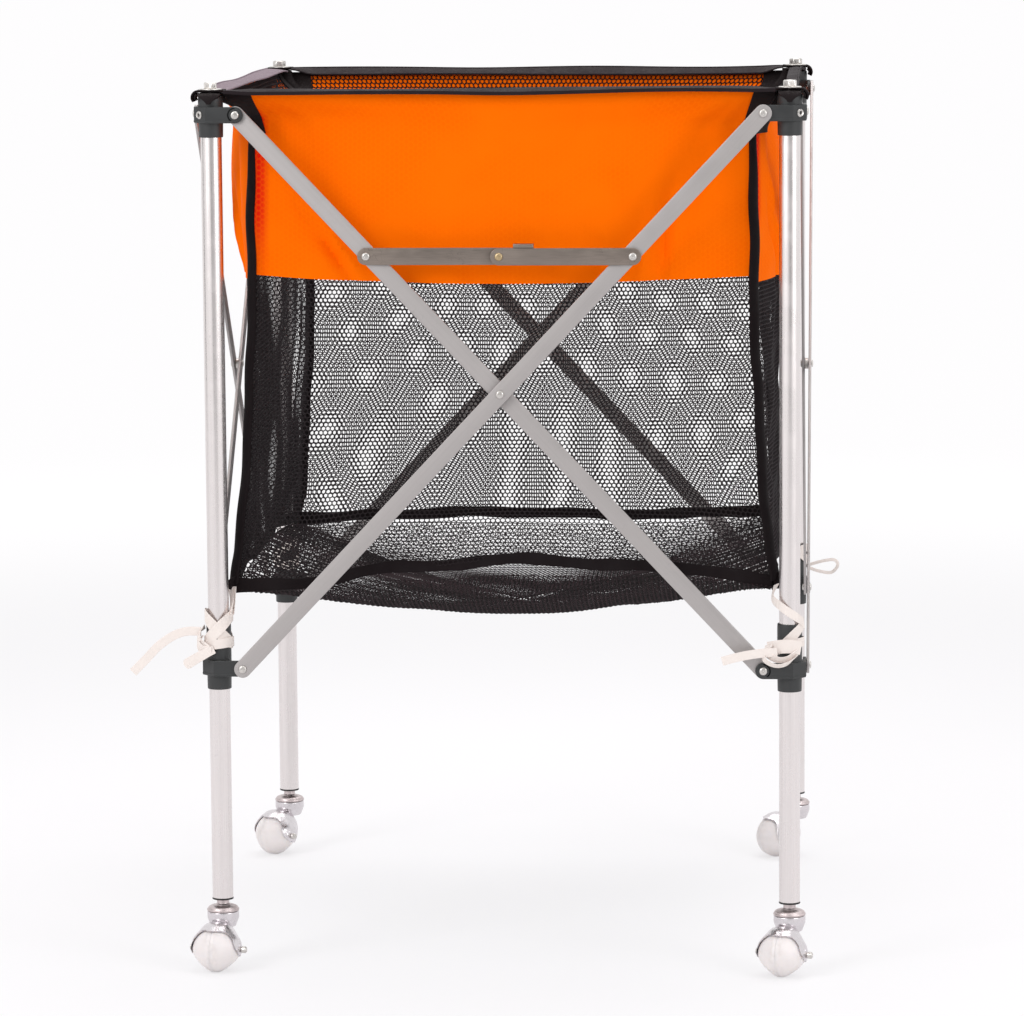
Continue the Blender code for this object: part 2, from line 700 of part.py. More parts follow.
def caster_hood():
    """Shell over the wheel with the housing of the swivel, about the swivel axis at floor level."""
    to_axle = Matrix.Translation((0, -CASTER_TRAIL, AXLE_HEIGHT))
    outside = about_axle(turned("hood", closed_profile(HOOD_WHEEL_GAP + HOOD_WALL), WHEEL_SIDES))
    inside = about_axle(turned("hood_inside", closed_profile(HOOD_WHEEL_GAP), WHEEL_SIDES))
    housing = rod("housing", HOUSING_RADIUS, HOUSING_TOP - HOUSING_HEIGHT, HOUSING_TOP, CASTER_SIDES)
    body = joined("hood", moved(outside, to_axle), housing)
    far = 3 * WHEEL_RADIUS
    mouth = plate(
        "hood_mouth",
        [
            (0, -HOOD_LIP_DROP),
            (-far, far * tan(HOOD_FRONT_ANGLE) - HOOD_LIP_DROP),
            (-far, -far),
            (far, -far),
            (far, -far * tan(HOOD_BACK_ANGLE) - HOOD_LIP_DROP),
        ],
        2 * far,
    )
    upright = Matrix.Rotation(pi / 2, 4, "Z") @ Matrix.Rotation(pi / 2, 4, "X")
    mouth = moved(mouth, to_axle @ upright)
    bore_radius = SWIVEL_PIN_RADIUS + SWIVEL_BORE_CLEARANCE
    bore_bottom = CAP_BOTTOM - SWIVEL_PIN_LENGTH - SWIVEL_END_CLEARANCE
    bore = rod("swivel_bore", bore_radius, bore_bottom, HOUSING_TOP + CUT_PAST, CASTER_SIDES)
    hole = about_axle(rod("axle_hole", AXLE_HOLE_RADIUS, -far, far, RIVET_SIDES))
    body = cut("hood", body, moved(inside, to_axle), mouth, bore, moved(hole, to_axle))
    return shaded(body, "chrome")


def caster_axle():
    """Pin along X with a knob at its right end, about the wheel's middle."""
    seat = WHEEL_HALF_WIDTH + HOOD_WHEEL_GAP + HOOD_WALL + CLEARANCE
    profile = [
        (0, seat + AXLE_KNOB_LENGTH),
        (AXLE_KNOB_RADIUS - AXLE_KNOB_CHAMFER, seat + AXLE_KNOB_LENGTH),
        (AXLE_KNOB_RADIUS, seat + AXLE_KNOB_LENGTH - AXLE_KNOB_CHAMFER),
        (AXLE_KNOB_RADIUS, seat),
        (AXLE_RADIUS, seat),
        (AXLE_RADIUS, -seat),
        (AXLE_HEAD_RADIUS, -seat),
        (AXLE_HEAD_RADIUS, -seat - AXLE_HEAD_LENGTH),
        (0, -seat - AXLE_HEAD_LENGTH),
    ]
    return shaded(about_axle(turned("caster_axle", profile, RIVET_SIDES)), "zinc")


# Bag, in the frame of the leg where its panel starts


def eased(share):
    """Smooth step from 0 to 1."""
    share = min(max(share, 0.0), 1.0)
    return share * share * (3 - 2 * share)


def corner_place(depth):
    """(inset along the side, inset across it) of a panel's end at a depth below the rim."""
    foot = max(depth - CORNER_DEPTH, 0) / (BAG_DROP - CORNER_DEPTH)
    waist = CORNER_INSET + (FOOT_INSET - CORNER_INSET) * foot
    drawn = eased(depth / CORNER_DEPTH)
    along = RIM_END_FROM_LEG + (waist - RIM_END_FROM_LEG) * drawn
    across = RIM_INSET + (waist - RIM_INSET) * drawn
    return along, across


def panel_point(across_share, depth, hem_rise):
    """Point of a panel's middle surface; across_share runs from -1 at its leg to 1 at the next."""
    along, corner = corner_place(depth)
    middle = RIM_INSET + (SIDE_INSET - RIM_INSET) * eased(depth / CORNER_DEPTH)
    inset = middle + (corner - middle) * abs(across_share) ** CORNER_CURVE
    half = HALF_SPACING - along - SEAM_GAP
    rise = hem_rise * (1 - across_share**2) * depth / BAG_DROP
    return Vector((HALF_SPACING + across_share * half, inset, RIM_HEIGHT - depth + rise))


def mesh_panel(hem_rise):
    """Panel from rim to hem, its rows close together near the rim, where the corners draw in."""

    def point(u, v):
        share = (1 - v) / 2
        depth = BAG_DROP * ((1 - TOP_ROWS_CLOSER) * share + TOP_ROWS_CLOSER * share**2)
        return panel_point(u, depth, hem_rise)

    return shaded(sheet("mesh_panel", point, PANEL_GRID, PANEL_GRID, CLOTH_THICKNESS), "mesh")


def floor_gore(hem_rise):
    """Quarter of the bag's floor, from a panel's hem to the middle; it falls steeply, then levels out."""
    low = FOOT_HEIGHT - FLOOR_SAG
    middle = Vector((HALF_SPACING, HALF_SPACING, low))

    def point(u, v):
        share = ((v + 1) / 2) ** HEM_ROWS_CLOSER * (1 - FLOOR_CENTRE_GAP / HALF_SPACING)
        edge = panel_point(u, BAG_DROP, hem_rise)
        edge.z -= CLEARANCE + CLOTH_THICKNESS / 2
        place = edge.lerp(middle, share)
        place.z = edge.z + (middle.z - edge.z) * (1 - (1 - share) ** FLOOR_ROUNDNESS)
        half = (HALF_SPACING - FOOT_INSET) * (1 - share) - SEAM_GAP
        place.x = HALF_SPACING + u * (half - SEAM_GAP)
        place.y = max(place.y, FOOT_INSET + share * (HALF_SPACING - FOOT_INSET))
        return place

    return shaded(sheet("floor_gore", point, PANEL_GRID, GORE_GRID, CLOTH_THICKNESS), "mesh")


def corner_tab():
    """Two webbing ends crossed on the leg's top under the washer, their outer ends turned down."""
    half = TAB_WIDTH / 2
    inner_end = RIM_END_FROM_LEG + SEAM_GAP - CLEARANCE
    strap = box("tab", (-TAB_REACH, -half, TAB_BOTTOM), (inner_end, half, TAB_TOP))
    lip = box(
        "tab_lip",
        (-TAB_REACH, -half, TAB_TOP - TAB_LIP_DROP - TAB_THICKNESS),
        (-TAB_REACH + TAB_LIP_THICKNESS, half, TAB_TOP),
    )
    arm = joined("tab_arm", strap, lip)
    body = joined("corner_tab", arm, moved(arm, ACROSS))
    eye_radius = PEG_STUD_RADIUS + 2 * CLEARANCE
    eye = rod("tab_eye", eye_radius, TAB_BOTTOM - CUT_PAST, TAB_TOP + CUT_PAST, CASTER_SIDES)
    return shaded(cut("corner_tab", body, eye), "webbing")


def tie_ring():
    """Inner and outer radius of the wound tape, at its corners."""
    inner = (SLEEVE_RADIUS + 2 * CLEARANCE) / cos(pi / TUBE_SIDES)
    return inner, inner + TIE_WALL


def tie(name, knot=None):
    """Tape wound round the leg over the slider's sleeve, with its strap up to the bag's corner.

    A knot is the (low, high) corners of the lump of tape that an end leaves from.
    """
    low = LOW_PIVOT + TIE_ABOVE_PIVOT
    high = low + TIE_HEIGHT
    inner, outer = tie_ring()
    ring = turned(name, [(inner, high), (outer, high), (outer, low), (inner, low)], TUBE_SIDES, ring=True)
    strap_top = FOOT_HEIGHT - SEAM_GAP
    strap = box(
        "tie_strap",
        (inner, -TIE_STRAP_WIDTH / 2, high - TIE_STRAP_WIDTH),
        (inner + TIE_STRAP_THICKNESS, TIE_STRAP_WIDTH / 2, strap_top),
    )
    pieces = [moved(strap, Matrix.Rotation(radians(45), 4, "Z"))]
    if knot is not None:
        pieces.append(box("knot", *knot))
    body = joined(name, ring, *pieces)
    if knot is not None:
        bore = rod("tie_bore", inner, low - CUT_PAST, high + CUT_PAST, TUBE_SIDES)
        body = cut(name, body, bore)
    return shaded(body, "tape")


def smooth_route(points, step):
    """Points at an even step along a smooth curve through the route's own points."""
    places = [Vector(p) for p in points]
    ends = [2 * places[0] - places[1]] + places + [2 * places[-1] - places[-2]]
    fine = []
    for i in range(1, len(ends) - 2):
        before, start, end, after = ends[i - 1 : i + 3]
        for j in range(ROUTE_STEPS):
            t = j / ROUTE_STEPS
            fine.append(
                0.5
                * (
                    2 * start
                    + (end - before) * t
                    + (2 * before - 5 * start + 4 * end - after) * t**2
                    + (3 * start - before - 3 * end + after) * t**3
                )
            )
    fine.append(places[-1])
    route = [fine[0]]
    for place in fine[1:]:
        if (place - route[-1]).length >= step:
            route.append(place)
    if (route[-1] - fine[-1]).length > step / 2:
        route.append(fine[-1])
    else:
        route[-1] = fine[-1]
    return route


def tape(name, points):
    """Flat tape along a route, its width in the upright plane."""
    curve = bpy.data.curves.new(name, "CURVE")
    curve.dimensions = "3D"
    curve.twist_mode = "Z_UP"
    curve.bevel_depth = TAPE_THICKNESS / 2
    curve.extrude = (TAPE_WIDTH - TAPE_THICKNESS) / 2
    curve.bevel_resolution = 0
    curve.use_fill_caps = True
    route = smooth_route(points, TAPE_STEP)
    spline = curve.splines.new("POLY")
    spline.points.add(len(route) - 1)
    for point, place in zip(spline.points, route):
        point.co = (*place, 1)
    return shaded(baked(on_bench(name, curve), name), "tape")


# Assembly


def quarter(turns):
    """World matrix of the frame's middle, turned by quarter turns."""
    return Matrix.Translation((FRAME_MIDDLE_X, FRAME_MIDDLE_Y, 0)) @ Matrix.Rotation(turns * pi / 2, 4, "Z")


def leg_matrix(turns):
    return quarter(turns) @ Matrix.Translation((-HALF_SPACING, -HALF_SPACING, 0))


def empty(name, place, parent=None):
    """Empty on a joint's axis; it carries what moves with that joint."""
    obj = bpy.data.objects.new(name, None)
    obj.empty_display_size = EMPTY_SIZE
    TROLLEY.objects.link(obj)
    hang(obj, parent, Matrix.Translation(place))
    return obj


def hang(obj, parent, world):
    """Place an object in the world and parent it without moving it."""
    obj.parent = parent
    bpy.context.view_layer.update()
    if parent is not None:
        obj.matrix_parent_inverse = parent.matrix_world.inverted()
    obj.matrix_basis = world
    bpy.context.view_layer.update()


def piece(name, mesh, parent, world):
    obj = bpy.data.objects.new(name, mesh)
    TROLLEY.objects.link(obj)
    hang(obj, parent, world)
    return obj


def on_side(side, x, outward, z):
    """World place on a side: x along it from its middle, and outward from the plane of the leg axes."""
    return quarter(side) @ Vector((x, -HALF_SPACING - outward, z))


def middle_of(layer):
    return sum(layer) / 2


def hinge_places():
    """Every hinge as name: (parent's name, place), from the front left leg outward."""
    half = PIVOT_SPAN / 2
    inner = middle_of(INNER_BRACE)
    outer = middle_of(OUTER_BRACE)
    between = (inner + outer) / 2
    places = {"front_left_leg": (None, leg_matrix(0).translation)}
    places["front_inner_brace"] = ("front_left_leg", on_side(0, -half, inner, TOP_PIVOT))
    places["front_outer_brace"] = ("front_inner_brace", on_side(0, 0, between, CROSSING))
    places["front_right_leg"] = ("front_outer_brace", on_side(0, half, outer, TOP_PIVOT))
    places["front_left_slider"] = ("front_outer_brace", on_side(0, -half, outer, LOW_PIVOT))
    places["front_right_slider"] = ("front_inner_brace", on_side(0, half, inner, LOW_PIVOT))
    places["left_outer_brace"] = ("front_left_leg", on_side(3, half, outer, TOP_PIVOT))
    places["left_inner_brace"] = ("left_outer_brace", on_side(3, 0, between, CROSSING))
    places["rear_left_leg"] = ("left_inner_brace", on_side(3, -half, inner, TOP_PIVOT))
    places["rear_left_slider"] = ("left_outer_brace", on_side(3, -half, outer, LOW_PIVOT))
    places["right_inner_brace"] = ("front_right_leg", on_side(1, -half, inner, TOP_PIVOT))
    places["right_outer_brace"] = ("right_inner_brace", on_side(1, 0, between, CROSSING))
    places["rear_right_leg"] = ("right_outer_brace", on_side(1, half, outer, TOP_PIVOT))
    places["rear_right_slider"] = ("right_inner_brace", on_side(1, half, inner, LOW_PIVOT))
    places["rear_outer_brace"] = ("rear_left_leg", on_side(2, half, outer, TOP_PIVOT))
    places["rear_inner_brace"] = ("rear_outer_brace", on_side(2, 0, between, CROSSING))
    places["left_stay_bar"] = (
        "front_inner_brace",
        on_side(0, -STAY_SPAN, middle_of(LEFT_STAY), STAY_PIVOT_HEIGHT),
    )
    places["right_stay_bar"] = (
        "front_outer_brace",
        on_side(0, STAY_SPAN, middle_of(RIGHT_STAY), STAY_PIVOT_HEIGHT),
    )
    for side, name in enumerate(SIDES):
        hem = leg_matrix(side) @ Vector((HALF_SPACING, FOOT_INSET, FOOT_HEIGHT))
        places[f"{name}_floor_gore"] = (f"{LEGS[side]}_leg", hem)
    for turns, leg in enumerate(LEGS):
        swivel = leg_matrix(turns).translation
        trail = Matrix.Rotation(-CASTER_TURNS[leg], 4, "Z") @ Vector((0, -CASTER_TRAIL, AXLE_HEIGHT))
        places[f"{leg}_caster"] = (f"{leg}_leg", swivel)
        places[f"{leg}_wheel"] = (f"{leg}_caster", swivel + trail)
    return places


def knot_of(leg):
    """(low, high) corners of a tie's knot in its leg's frame, or None."""
    outer = tie_ring()[1]
    low = LOW_PIVOT + TIE_ABOVE_PIVOT
    if leg == "front_left":
        return (-outer - TIE_WALL, -KNOT_WIDTH / 2, low), (-outer + TIE_WALL, 0, low + KNOT_HEIGHT)
    if leg == "front_right":
        # The front is this leg's -X side
        return (-outer - KNOT_DEPTH, -TIE_WALL, low), (-outer + TIE_WALL, KNOT_WIDTH / 2, low + KNOT_HEIGHT)
    return None


def tie_ends():
    """Routes of the two long tape ends, from their knots out."""
    outer = tie_ring()[1]
    left = leg_matrix(0).translation
    right = leg_matrix(1).translation
    level = LOW_PIVOT + TIE_ABOVE_PIVOT + KNOT_HEIGHT / 2
    from_left = outer + TIE_WALL + 2 * CLEARANCE
    left_route = [
        (left.x - from_left, left.y - 0.006, level + 0.0105),
        (left.x - 0.0330, left.y - 0.0065, level + 0.0105),
        (left.x - 0.0470, left.y - 0.0075, level + 0.0060),
        (left.x - 0.0630, left.y - 0.0085, level - 0.0050),
        (left.x - 0.0765, left.y - 0.0090, level - 0.0190),
        (left.x - 0.0905, left.y - 0.0090, level - 0.0330),
    ]
    front = right.y - outer - KNOT_DEPTH + TAPE_THICKNESS
    start = right.x - KNOT_WIDTH / 2 - 2 * CLEARANCE
    right_route = [
        (start, front, level - 0.0060),
        (right.x - 0.0280, front, level - 0.0070),
        (right.x - 0.0420, front, level - 0.0090),
        (right.x - 0.0560, front, level - 0.0120),
        (right.x - 0.0700, front, level - 0.0158),
    ]
    return left_route, right_route


def build():
    hinges = {}
    for name, (parent, place) in hinge_places().items():
        hinges[name] = empty(f"{name}_hinge", place, hinges.get(parent))

    top_bracket = bracket("top_bracket", -TOP_SLEEVE_BELOW, PIVOT_BELOW_TOP - CLEARANCE, False, True)
    slider = bracket("slider", -SLIDER_SLEEVE_BELOW, SLIDER_SLEEVE_ABOVE, True, False)
    fixed = {
        "tube": (leg_tube(), 0),
        "peg": (peg(), 0),
        "top_bracket": (top_bracket, TOP_PIVOT),
        "caster_stem": (caster_stem(), 0),
        "corner_tab": (corner_tab(), 0),
    }
    hood = caster_hood()
    axle = caster_axle()
    wheel = ball_wheel()
    for turns, leg in enumerate(LEGS):
        frame = leg_matrix(turns)
        carrier = hinges[f"{leg}_leg"]
        for name, (mesh, height) in fixed.items():
            piece(f"{leg}_{name}", mesh, carrier, frame @ Matrix.Translation((0, 0, height)))
        piece(f"{leg}_tie", tie(f"{leg}_tie", knot_of(leg)), carrier, frame)
        low = frame @ Matrix.Translation((0, 0, LOW_PIVOT))
        piece(f"{leg}_slider", slider, hinges[f"{leg}_slider"], low)
        swivel = Matrix.Translation(frame.translation) @ Matrix.Rotation(-CASTER_TURNS[leg], 4, "Z")
        axle_place = swivel @ Matrix.Translation((0, -CASTER_TRAIL, AXLE_HEIGHT))
        piece(f"{leg}_caster_hood", hood, hinges[f"{leg}_caster"], swivel)
        piece(f"{leg}_caster_axle", axle, hinges[f"{leg}_caster"], axle_place)
        piece(f"{leg}_ball_wheel", wheel, hinges[f"{leg}_wheel"], axle_place)

    plain_inner, front_inner = inner_braces()
    plain_outer, front_outer = outer_braces()
    for side, name in enumerate(SIDES):
        inner = front_inner if name == "front" else plain_inner
        outer = front_outer if name == "front" else plain_outer
        piece(f"{name}_inner_brace", inner, hinges[f"{name}_inner_brace"], brace_place(quarter(side), False))
        piece(f"{name}_outer_brace", outer, hinges[f"{name}_outer_brace"], brace_place(quarter(side), True))
        panel = mesh_panel(HEM_RISES[name])
        gore = floor_gore(HEM_RISES[name])
        piece(f"{name}_mesh_panel", panel, hinges[f"{LEGS[side]}_leg"], leg_matrix(side))
        piece(f"{name}_floor_gore", gore, hinges[f"{name}_floor_gore"], leg_matrix(side))

    upright = Matrix.Rotation(pi / 2, 4, "X")
    stays = (("left_stay_bar", left_stay(), -STAY_SPAN), ("right_stay_bar", right_stay(), STAY_SPAN))
    for name, mesh, x in stays:
        place = quarter(0) @ Matrix.Translation((x, -HALF_SPACING, STAY_PIVOT_HEIGHT)) @ upright
        piece(name, mesh, hinges[name], place)

    for leg, route in zip(("front_left", "front_right"), tie_ends()):
        name = f"{leg}_tie_end"
        piece(name, tape(name, route), hinges[f"{leg}_leg"], Matrix())
    bpy.data.collections.remove(BENCH)


build()
stay_lift = acos(STAY_FROM_CROSSING * sin(BRACE_LEAN - FOLD_ANGLE) / STAY_SPAN)
print(f"fold {degrees(FOLD_ANGLE):.3f} degrees, stay lift {degrees(stay_lift):.3f} degrees")
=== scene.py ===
"""Folding mesh trolley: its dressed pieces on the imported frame, a white studio and the camera."""

import logging
from collections.abc import Callable, Sequence
from dataclasses import dataclass, field
from enum import Enum
from math import asin, cos, hypot, pi, radians, sin

import bmesh
import bpy
import numpy as np
from mathutils import Matrix, Vector

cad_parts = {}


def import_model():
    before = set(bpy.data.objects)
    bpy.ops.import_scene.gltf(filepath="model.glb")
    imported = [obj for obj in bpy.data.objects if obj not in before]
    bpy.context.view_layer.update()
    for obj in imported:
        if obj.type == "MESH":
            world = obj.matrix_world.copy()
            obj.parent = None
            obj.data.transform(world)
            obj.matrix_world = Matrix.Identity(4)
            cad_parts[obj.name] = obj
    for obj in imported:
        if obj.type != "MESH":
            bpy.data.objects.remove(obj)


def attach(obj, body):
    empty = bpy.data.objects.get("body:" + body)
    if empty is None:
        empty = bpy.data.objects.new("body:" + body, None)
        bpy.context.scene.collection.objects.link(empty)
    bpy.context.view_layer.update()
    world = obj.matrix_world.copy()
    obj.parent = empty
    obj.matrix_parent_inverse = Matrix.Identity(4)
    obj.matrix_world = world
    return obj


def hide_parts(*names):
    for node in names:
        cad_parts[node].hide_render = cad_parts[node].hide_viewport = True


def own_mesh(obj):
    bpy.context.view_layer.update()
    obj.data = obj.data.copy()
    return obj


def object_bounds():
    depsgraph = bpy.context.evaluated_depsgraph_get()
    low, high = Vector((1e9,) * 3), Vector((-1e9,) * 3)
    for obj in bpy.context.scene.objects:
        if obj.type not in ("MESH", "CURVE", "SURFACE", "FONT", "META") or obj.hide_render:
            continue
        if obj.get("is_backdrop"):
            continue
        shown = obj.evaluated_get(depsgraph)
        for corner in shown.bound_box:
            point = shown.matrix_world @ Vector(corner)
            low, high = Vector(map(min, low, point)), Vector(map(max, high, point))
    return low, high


log = logging.getLogger("trolley")

Place = tuple[float, float, float]
Colour = tuple[float, float, float, float]
Profile = Sequence[tuple[float, float]]
Points = Sequence[Place]
Faces = list[tuple[int, ...]]
Surface = Callable[[np.ndarray, np.ndarray], np.ndarray]
Socket = bpy.types.NodeSocket


# Sizes


@dataclass(frozen=True)
class TrolleySizes:
    """Sizes that several sub-assemblies share, in metres and degrees."""

    middle_x: float = 0.009
    middle_y: float = 0.014
    half_spacing: float = 0.3
    folded_spacing: float = 0.12
    clearance: float = 0.0003
    tube_radius: float = 0.011
    tube_wall: float = 0.0012
    tube_bottom: float = 0.0754
    tube_top: float = 0.9225
    plug_radius: float = 0.0096
    plug_depth: float = 0.03
    top_pivot: float = 0.9033
    low_pivot: float = 0.3233
    crossing: float = 0.6133
    ear_reach: float = 0.0272
    sleeve_radius: float = 0.013
    brace_length: float = hypot(0.5456, 0.58)
    brace_lean: float = 43.25
    inner_brace: tuple[float, float] = (0.0102, 0.0132)
    ear: tuple[float, float] = (0.0135, 0.017)
    outer_brace: tuple[float, float] = (0.0173, 0.0203)
    left_stay: tuple[float, float] = (0.0135, 0.0162)
    right_stay: tuple[float, float] = (0.0206, 0.0233)
    rim_height: float = 0.9245
    bag_drop: float = 0.516
    axle_height: float = 0.025
    caster_trail: float = 0.024


SIZES = TrolleySizes()
LEGS = ("front_left", "front_right", "rear_right", "rear_left")
SIDES = ("front", "right", "rear", "left")
CASTER_TURNS = (11.0, 18.0, 63.0, 39.0)
SEED = 7


class Slot(Enum):
    """Names of the trolley's material slots."""

    TUBE = "leg_tube"
    BRACE = "brace_metal"
    STAY = "stay_steel"
    PLASTIC = "black_plastic"
    PEG = "peg_metal"
    CASTER = "caster_chrome"
    WHEEL = "wheel_nylon"
    BAG = "bag_mesh"
    WEBBING = "webbing"
    TAPE = "cotton_tape"


def shifted(x: float, y: float, z: float) -> Matrix:
    """Matrix of a shift."""
    return Matrix.Translation((x, y, z))


def turned_about(axis: str, angle: float) -> Matrix:
    """Matrix of a turn about an axis, in degrees."""
    return Matrix.Rotation(radians(angle), 4, axis)


def quarter(turns: int) -> Matrix:
    """World matrix of the frame's middle, turned by quarter turns."""
    return shifted(SIZES.middle_x, SIZES.middle_y, 0) @ turned_about("Z", 90 * turns)


def leg_matrix(turns: int) -> Matrix:
    """World matrix of a leg at floor level, +X along its own side and +Y along the side before."""
    return quarter(turns) @ shifted(-SIZES.half_spacing, -SIZES.half_spacing, 0)


def facing_out(x: float, outward: float, z: float) -> Matrix:
    """Matrix that takes a piece made about Z to a side's face, its Z turned outward to -Y."""
    return shifted(x, -outward, z) @ turned_about("X", 90)


ACROSS = turned_about("Z", -90) @ Matrix.Scale(-1, 4, (1, 0, 0))


def linear(red: float, green: float, blue: float) -> Colour:
    """Linear colour from display values of 0 to 255."""
    shares = [value / 255 for value in (red, green, blue)]
    return (*[s / 12.92 if s <= 0.04045 else ((s + 0.055) / 1.055) ** 2.4 for s in shares], 1.0)


def eased(share: np.ndarray) -> np.ndarray:
    """Smooth step from 0 to 1."""
    share = np.clip(share, 0.0, 1.0)
    return share * share * (3 - 2 * share)


def between(start: float, end: float, share: np.ndarray) -> np.ndarray:
    """Value at a share of the way from a start to an end."""
    return start + (end - start) * share


def smooth_line(points: Points, steps: int) -> np.ndarray:
    """Smooth curve through points.

    Args:
        points: the points that it passes.
        steps: the pieces between two of them.

    Returns:
        Its points as rows.
    """
    rows = np.array(points, float)
    rows = np.vstack([2 * rows[0] - rows[1], rows, 2 * rows[-1] - rows[-2]])
    t = (np.arange(steps) / steps)[:, None]
    fine = []
    for before, start, end, after in zip(rows, rows[1:], rows[2:], rows[3:]):
        linear_part = (end - before) * t
        square_part = (2 * before - 5 * start + 4 * end - after) * t**2
        cube_part = (3 * start - before - 3 * end + after) * t**3
        fine.append(0.5 * (2 * start + linear_part + square_part + cube_part))
    return np.vstack([*fine, rows[-2]])


def smooth_table(pairs: Profile, steps: int) -> tuple[np.ndarray, np.ndarray]:
    """Places and values of a smooth curve through (place, value) pairs."""
    line = smooth_line([(place, value, 0.0) for place, value in pairs], steps)
    return line[:, 0], line[:, 1]


def unit(rows: np.ndarray) -> np.ndarray:
    """Rows scaled to a length of one."""
    return rows / np.maximum(np.linalg.norm(rows, axis=-1, keepdims=True), 1e-12)


# Skins


@dataclass
class Shell:
    """One skin of a piece: its points, faces, woven coordinates and the number of its finish."""

    points: np.ndarray
    faces: Faces
    woven: np.ndarray | None = None
    finish: int = 0

    def placed(self, place: Matrix) -> "Shell":
        """Copy of the shell moved by a matrix."""
        points = self.points @ np.array(place.to_3x3()).T + np.array(place.translation)
        return Shell(points, self.faces, self.woven, self.finish)

    def finished(self, finish: int) -> "Shell":
        """Copy of the shell with another finish."""
        return Shell(self.points, self.faces, self.woven, finish)


def placed_all(shells: Sequence[Shell], place: Matrix) -> list[Shell]:
    """Copies of shells moved by a matrix."""
    return [shell.placed(place) for shell in shells]


def ring_faces(rings: int, sides: int) -> Faces:
    """Faces between rings of points that follow each other."""
    starts = [(ring * sides, i, (i + 1) % sides) for ring in range(rings - 1) for i in range(sides)]
    return [(base + i, base + j, base + sides + j, base + sides + i) for base, i, j in starts]


def sheet_faces(rows: int, columns: int) -> Faces:
    """Faces of a closed sheet.

    Args:
        rows: rows of points of its upper face; those of the lower face follow them.
        columns: points in a row.

    Returns:
        Faces of both sides and of the border.
    """
    size = rows * columns
    faces = []
    for a in (row * columns + column for row in range(rows - 1) for column in range(columns - 1)):
        faces.append((a, a + 1, a + columns + 1, a + columns))
        faces.append((size + a + columns, size + a + columns + 1, size + a + 1, size + a))
    border = list(range(columns)) + [row * columns + columns - 1 for row in range(1, rows)]
    border += [size - columns + column for column in range(columns - 2, -1, -1)]
    border += [row * columns for row in range(rows - 2, 0, -1)]
    return faces + [(b, a, size + a, size + b) for a, b in zip(border, border[1:] + border[:1])]


def turned(profile: Profile, sides: int = 48, ring: bool = False) -> Shell:
    """Skin turned about Z.

    Args:
        profile: (radius, height) points, listed down the outer side.
        sides: the facets round it.
        ring: True where the last point joins the first.

    Returns:
        The turned skin.
    """
    angles = np.arange(sides) * 2 * pi / sides
    points: list[Place] = []
    rows: list[list[int]] = []
    for radius, height in profile:
        if radius < 1e-9:
            rows.append([len(points)] * sides)
            points.append((0.0, 0.0, height))
        else:
            rows.append([len(points) + i for i in range(sides)])
            points += [(radius * cos(a), radius * sin(a), height) for a in angles]
    faces = []
    for upper, lower in list(zip(rows, rows[1:])) + ([(rows[-1], rows[0])] if ring else []):
        for i, j in ((i, (i + 1) % sides) for i in range(sides)):
            face = tuple(dict.fromkeys((upper[i], lower[i], lower[j], upper[j])))
            if len(face) > 2:
                faces.append(face)
    return Shell(np.array(points), faces)


def rounded(profile: Profile, radius: float, steps: int = 3) -> list[tuple[float, float]]:
    """Profile with its inner corners rounded off.

    Args:
        profile: (radius, height) points; the first and the last stay.
        radius: how far from each corner the rounding starts, at most.
        steps: the pieces of each rounding.

    Returns:
        The finer profile.
    """
    corners = [Vector(point) for point in profile]
    fine = [profile[0]]
    for before, corner, after in zip(corners, corners[1:], corners[2:]):
        start = corner + (before - corner).normalized() * min(radius, (before - corner).length * 0.45)
        end = corner + (after - corner).normalized() * min(radius, (after - corner).length * 0.45)
        for t in (i / steps for i in range(steps + 1)):
            fine.append(tuple(start * (1 - t) ** 2 + corner * 2 * t * (1 - t) + end * t**2))
    return [*fine, profile[-1]]


def inset_outline(outline: np.ndarray, distance: float) -> np.ndarray:
    """Outline moved inward.

    Args:
        outline: its points, listed against the clock.
        distance: how far it moves; below zero it moves outward.

    Returns:
        The moved points.
    """
    first = unit(outline - np.roll(outline, 1, axis=0))
    second = unit(np.roll(outline, -1, axis=0) - outline)
    left = np.stack([-first[:, 1], first[:, 0]], axis=1)
    right = np.stack([-second[:, 1], second[:, 0]], axis=1)
    scale = 1 + np.sum(left * right, axis=1, keepdims=True)
    return outline + (left + right) / scale * distance


def slab(outline: Profile, low: float, high: float, bevel: float, steps: int = 3) -> Shell:
    """Plate with rounded edges.

    Args:
        outline: points in XY, listed against the clock.
        low: height of its lower face.
        high: height of its upper face.
        bevel: radius of its rounded edges.
        steps: the pieces of each rounding.

    Returns:
        The closed skin.
    """
    flat = np.array(outline, float)
    count = len(flat)
    turns = [pi / 2 * i / steps for i in range(steps + 1)]
    levels = [(bevel * (1 - sin(a)), low + bevel * (1 - cos(a))) for a in turns]
    levels += [(bevel * (1 - sin(a)), high - bevel * (1 - cos(a))) for a in reversed(turns)]
    rings = [np.column_stack([inset_outline(flat, offset), np.full(count, z)]) for offset, z in levels]
    top = (len(rings) - 1) * count
    faces = [tuple(reversed(range(count))), *ring_faces(len(rings), count), tuple(range(top, top + count))]
    return Shell(np.vstack(rings), faces)


def arc(middle: tuple[float, float], radius: float, start: float, end: float, steps: int) -> list:
    """Points of an arc about a middle, ends included, from one angle to another in degrees."""
    turns = [radians(start + (end - start) * i / steps) for i in range(steps + 1)]
    return [(middle[0] + radius * cos(a), middle[1] + radius * sin(a)) for a in turns]


STRIP_SECTION = (
    (-1.0, 0.0), (-0.96, -0.8), (-0.5, -1.0), (0.0, -1.0), (0.5, -1.0), (0.96, -0.8),
    (1.0, 0.0), (0.96, 0.8), (0.5, 1.0), (0.0, 1.0), (-0.5, 1.0), (-0.96, 0.8),
)


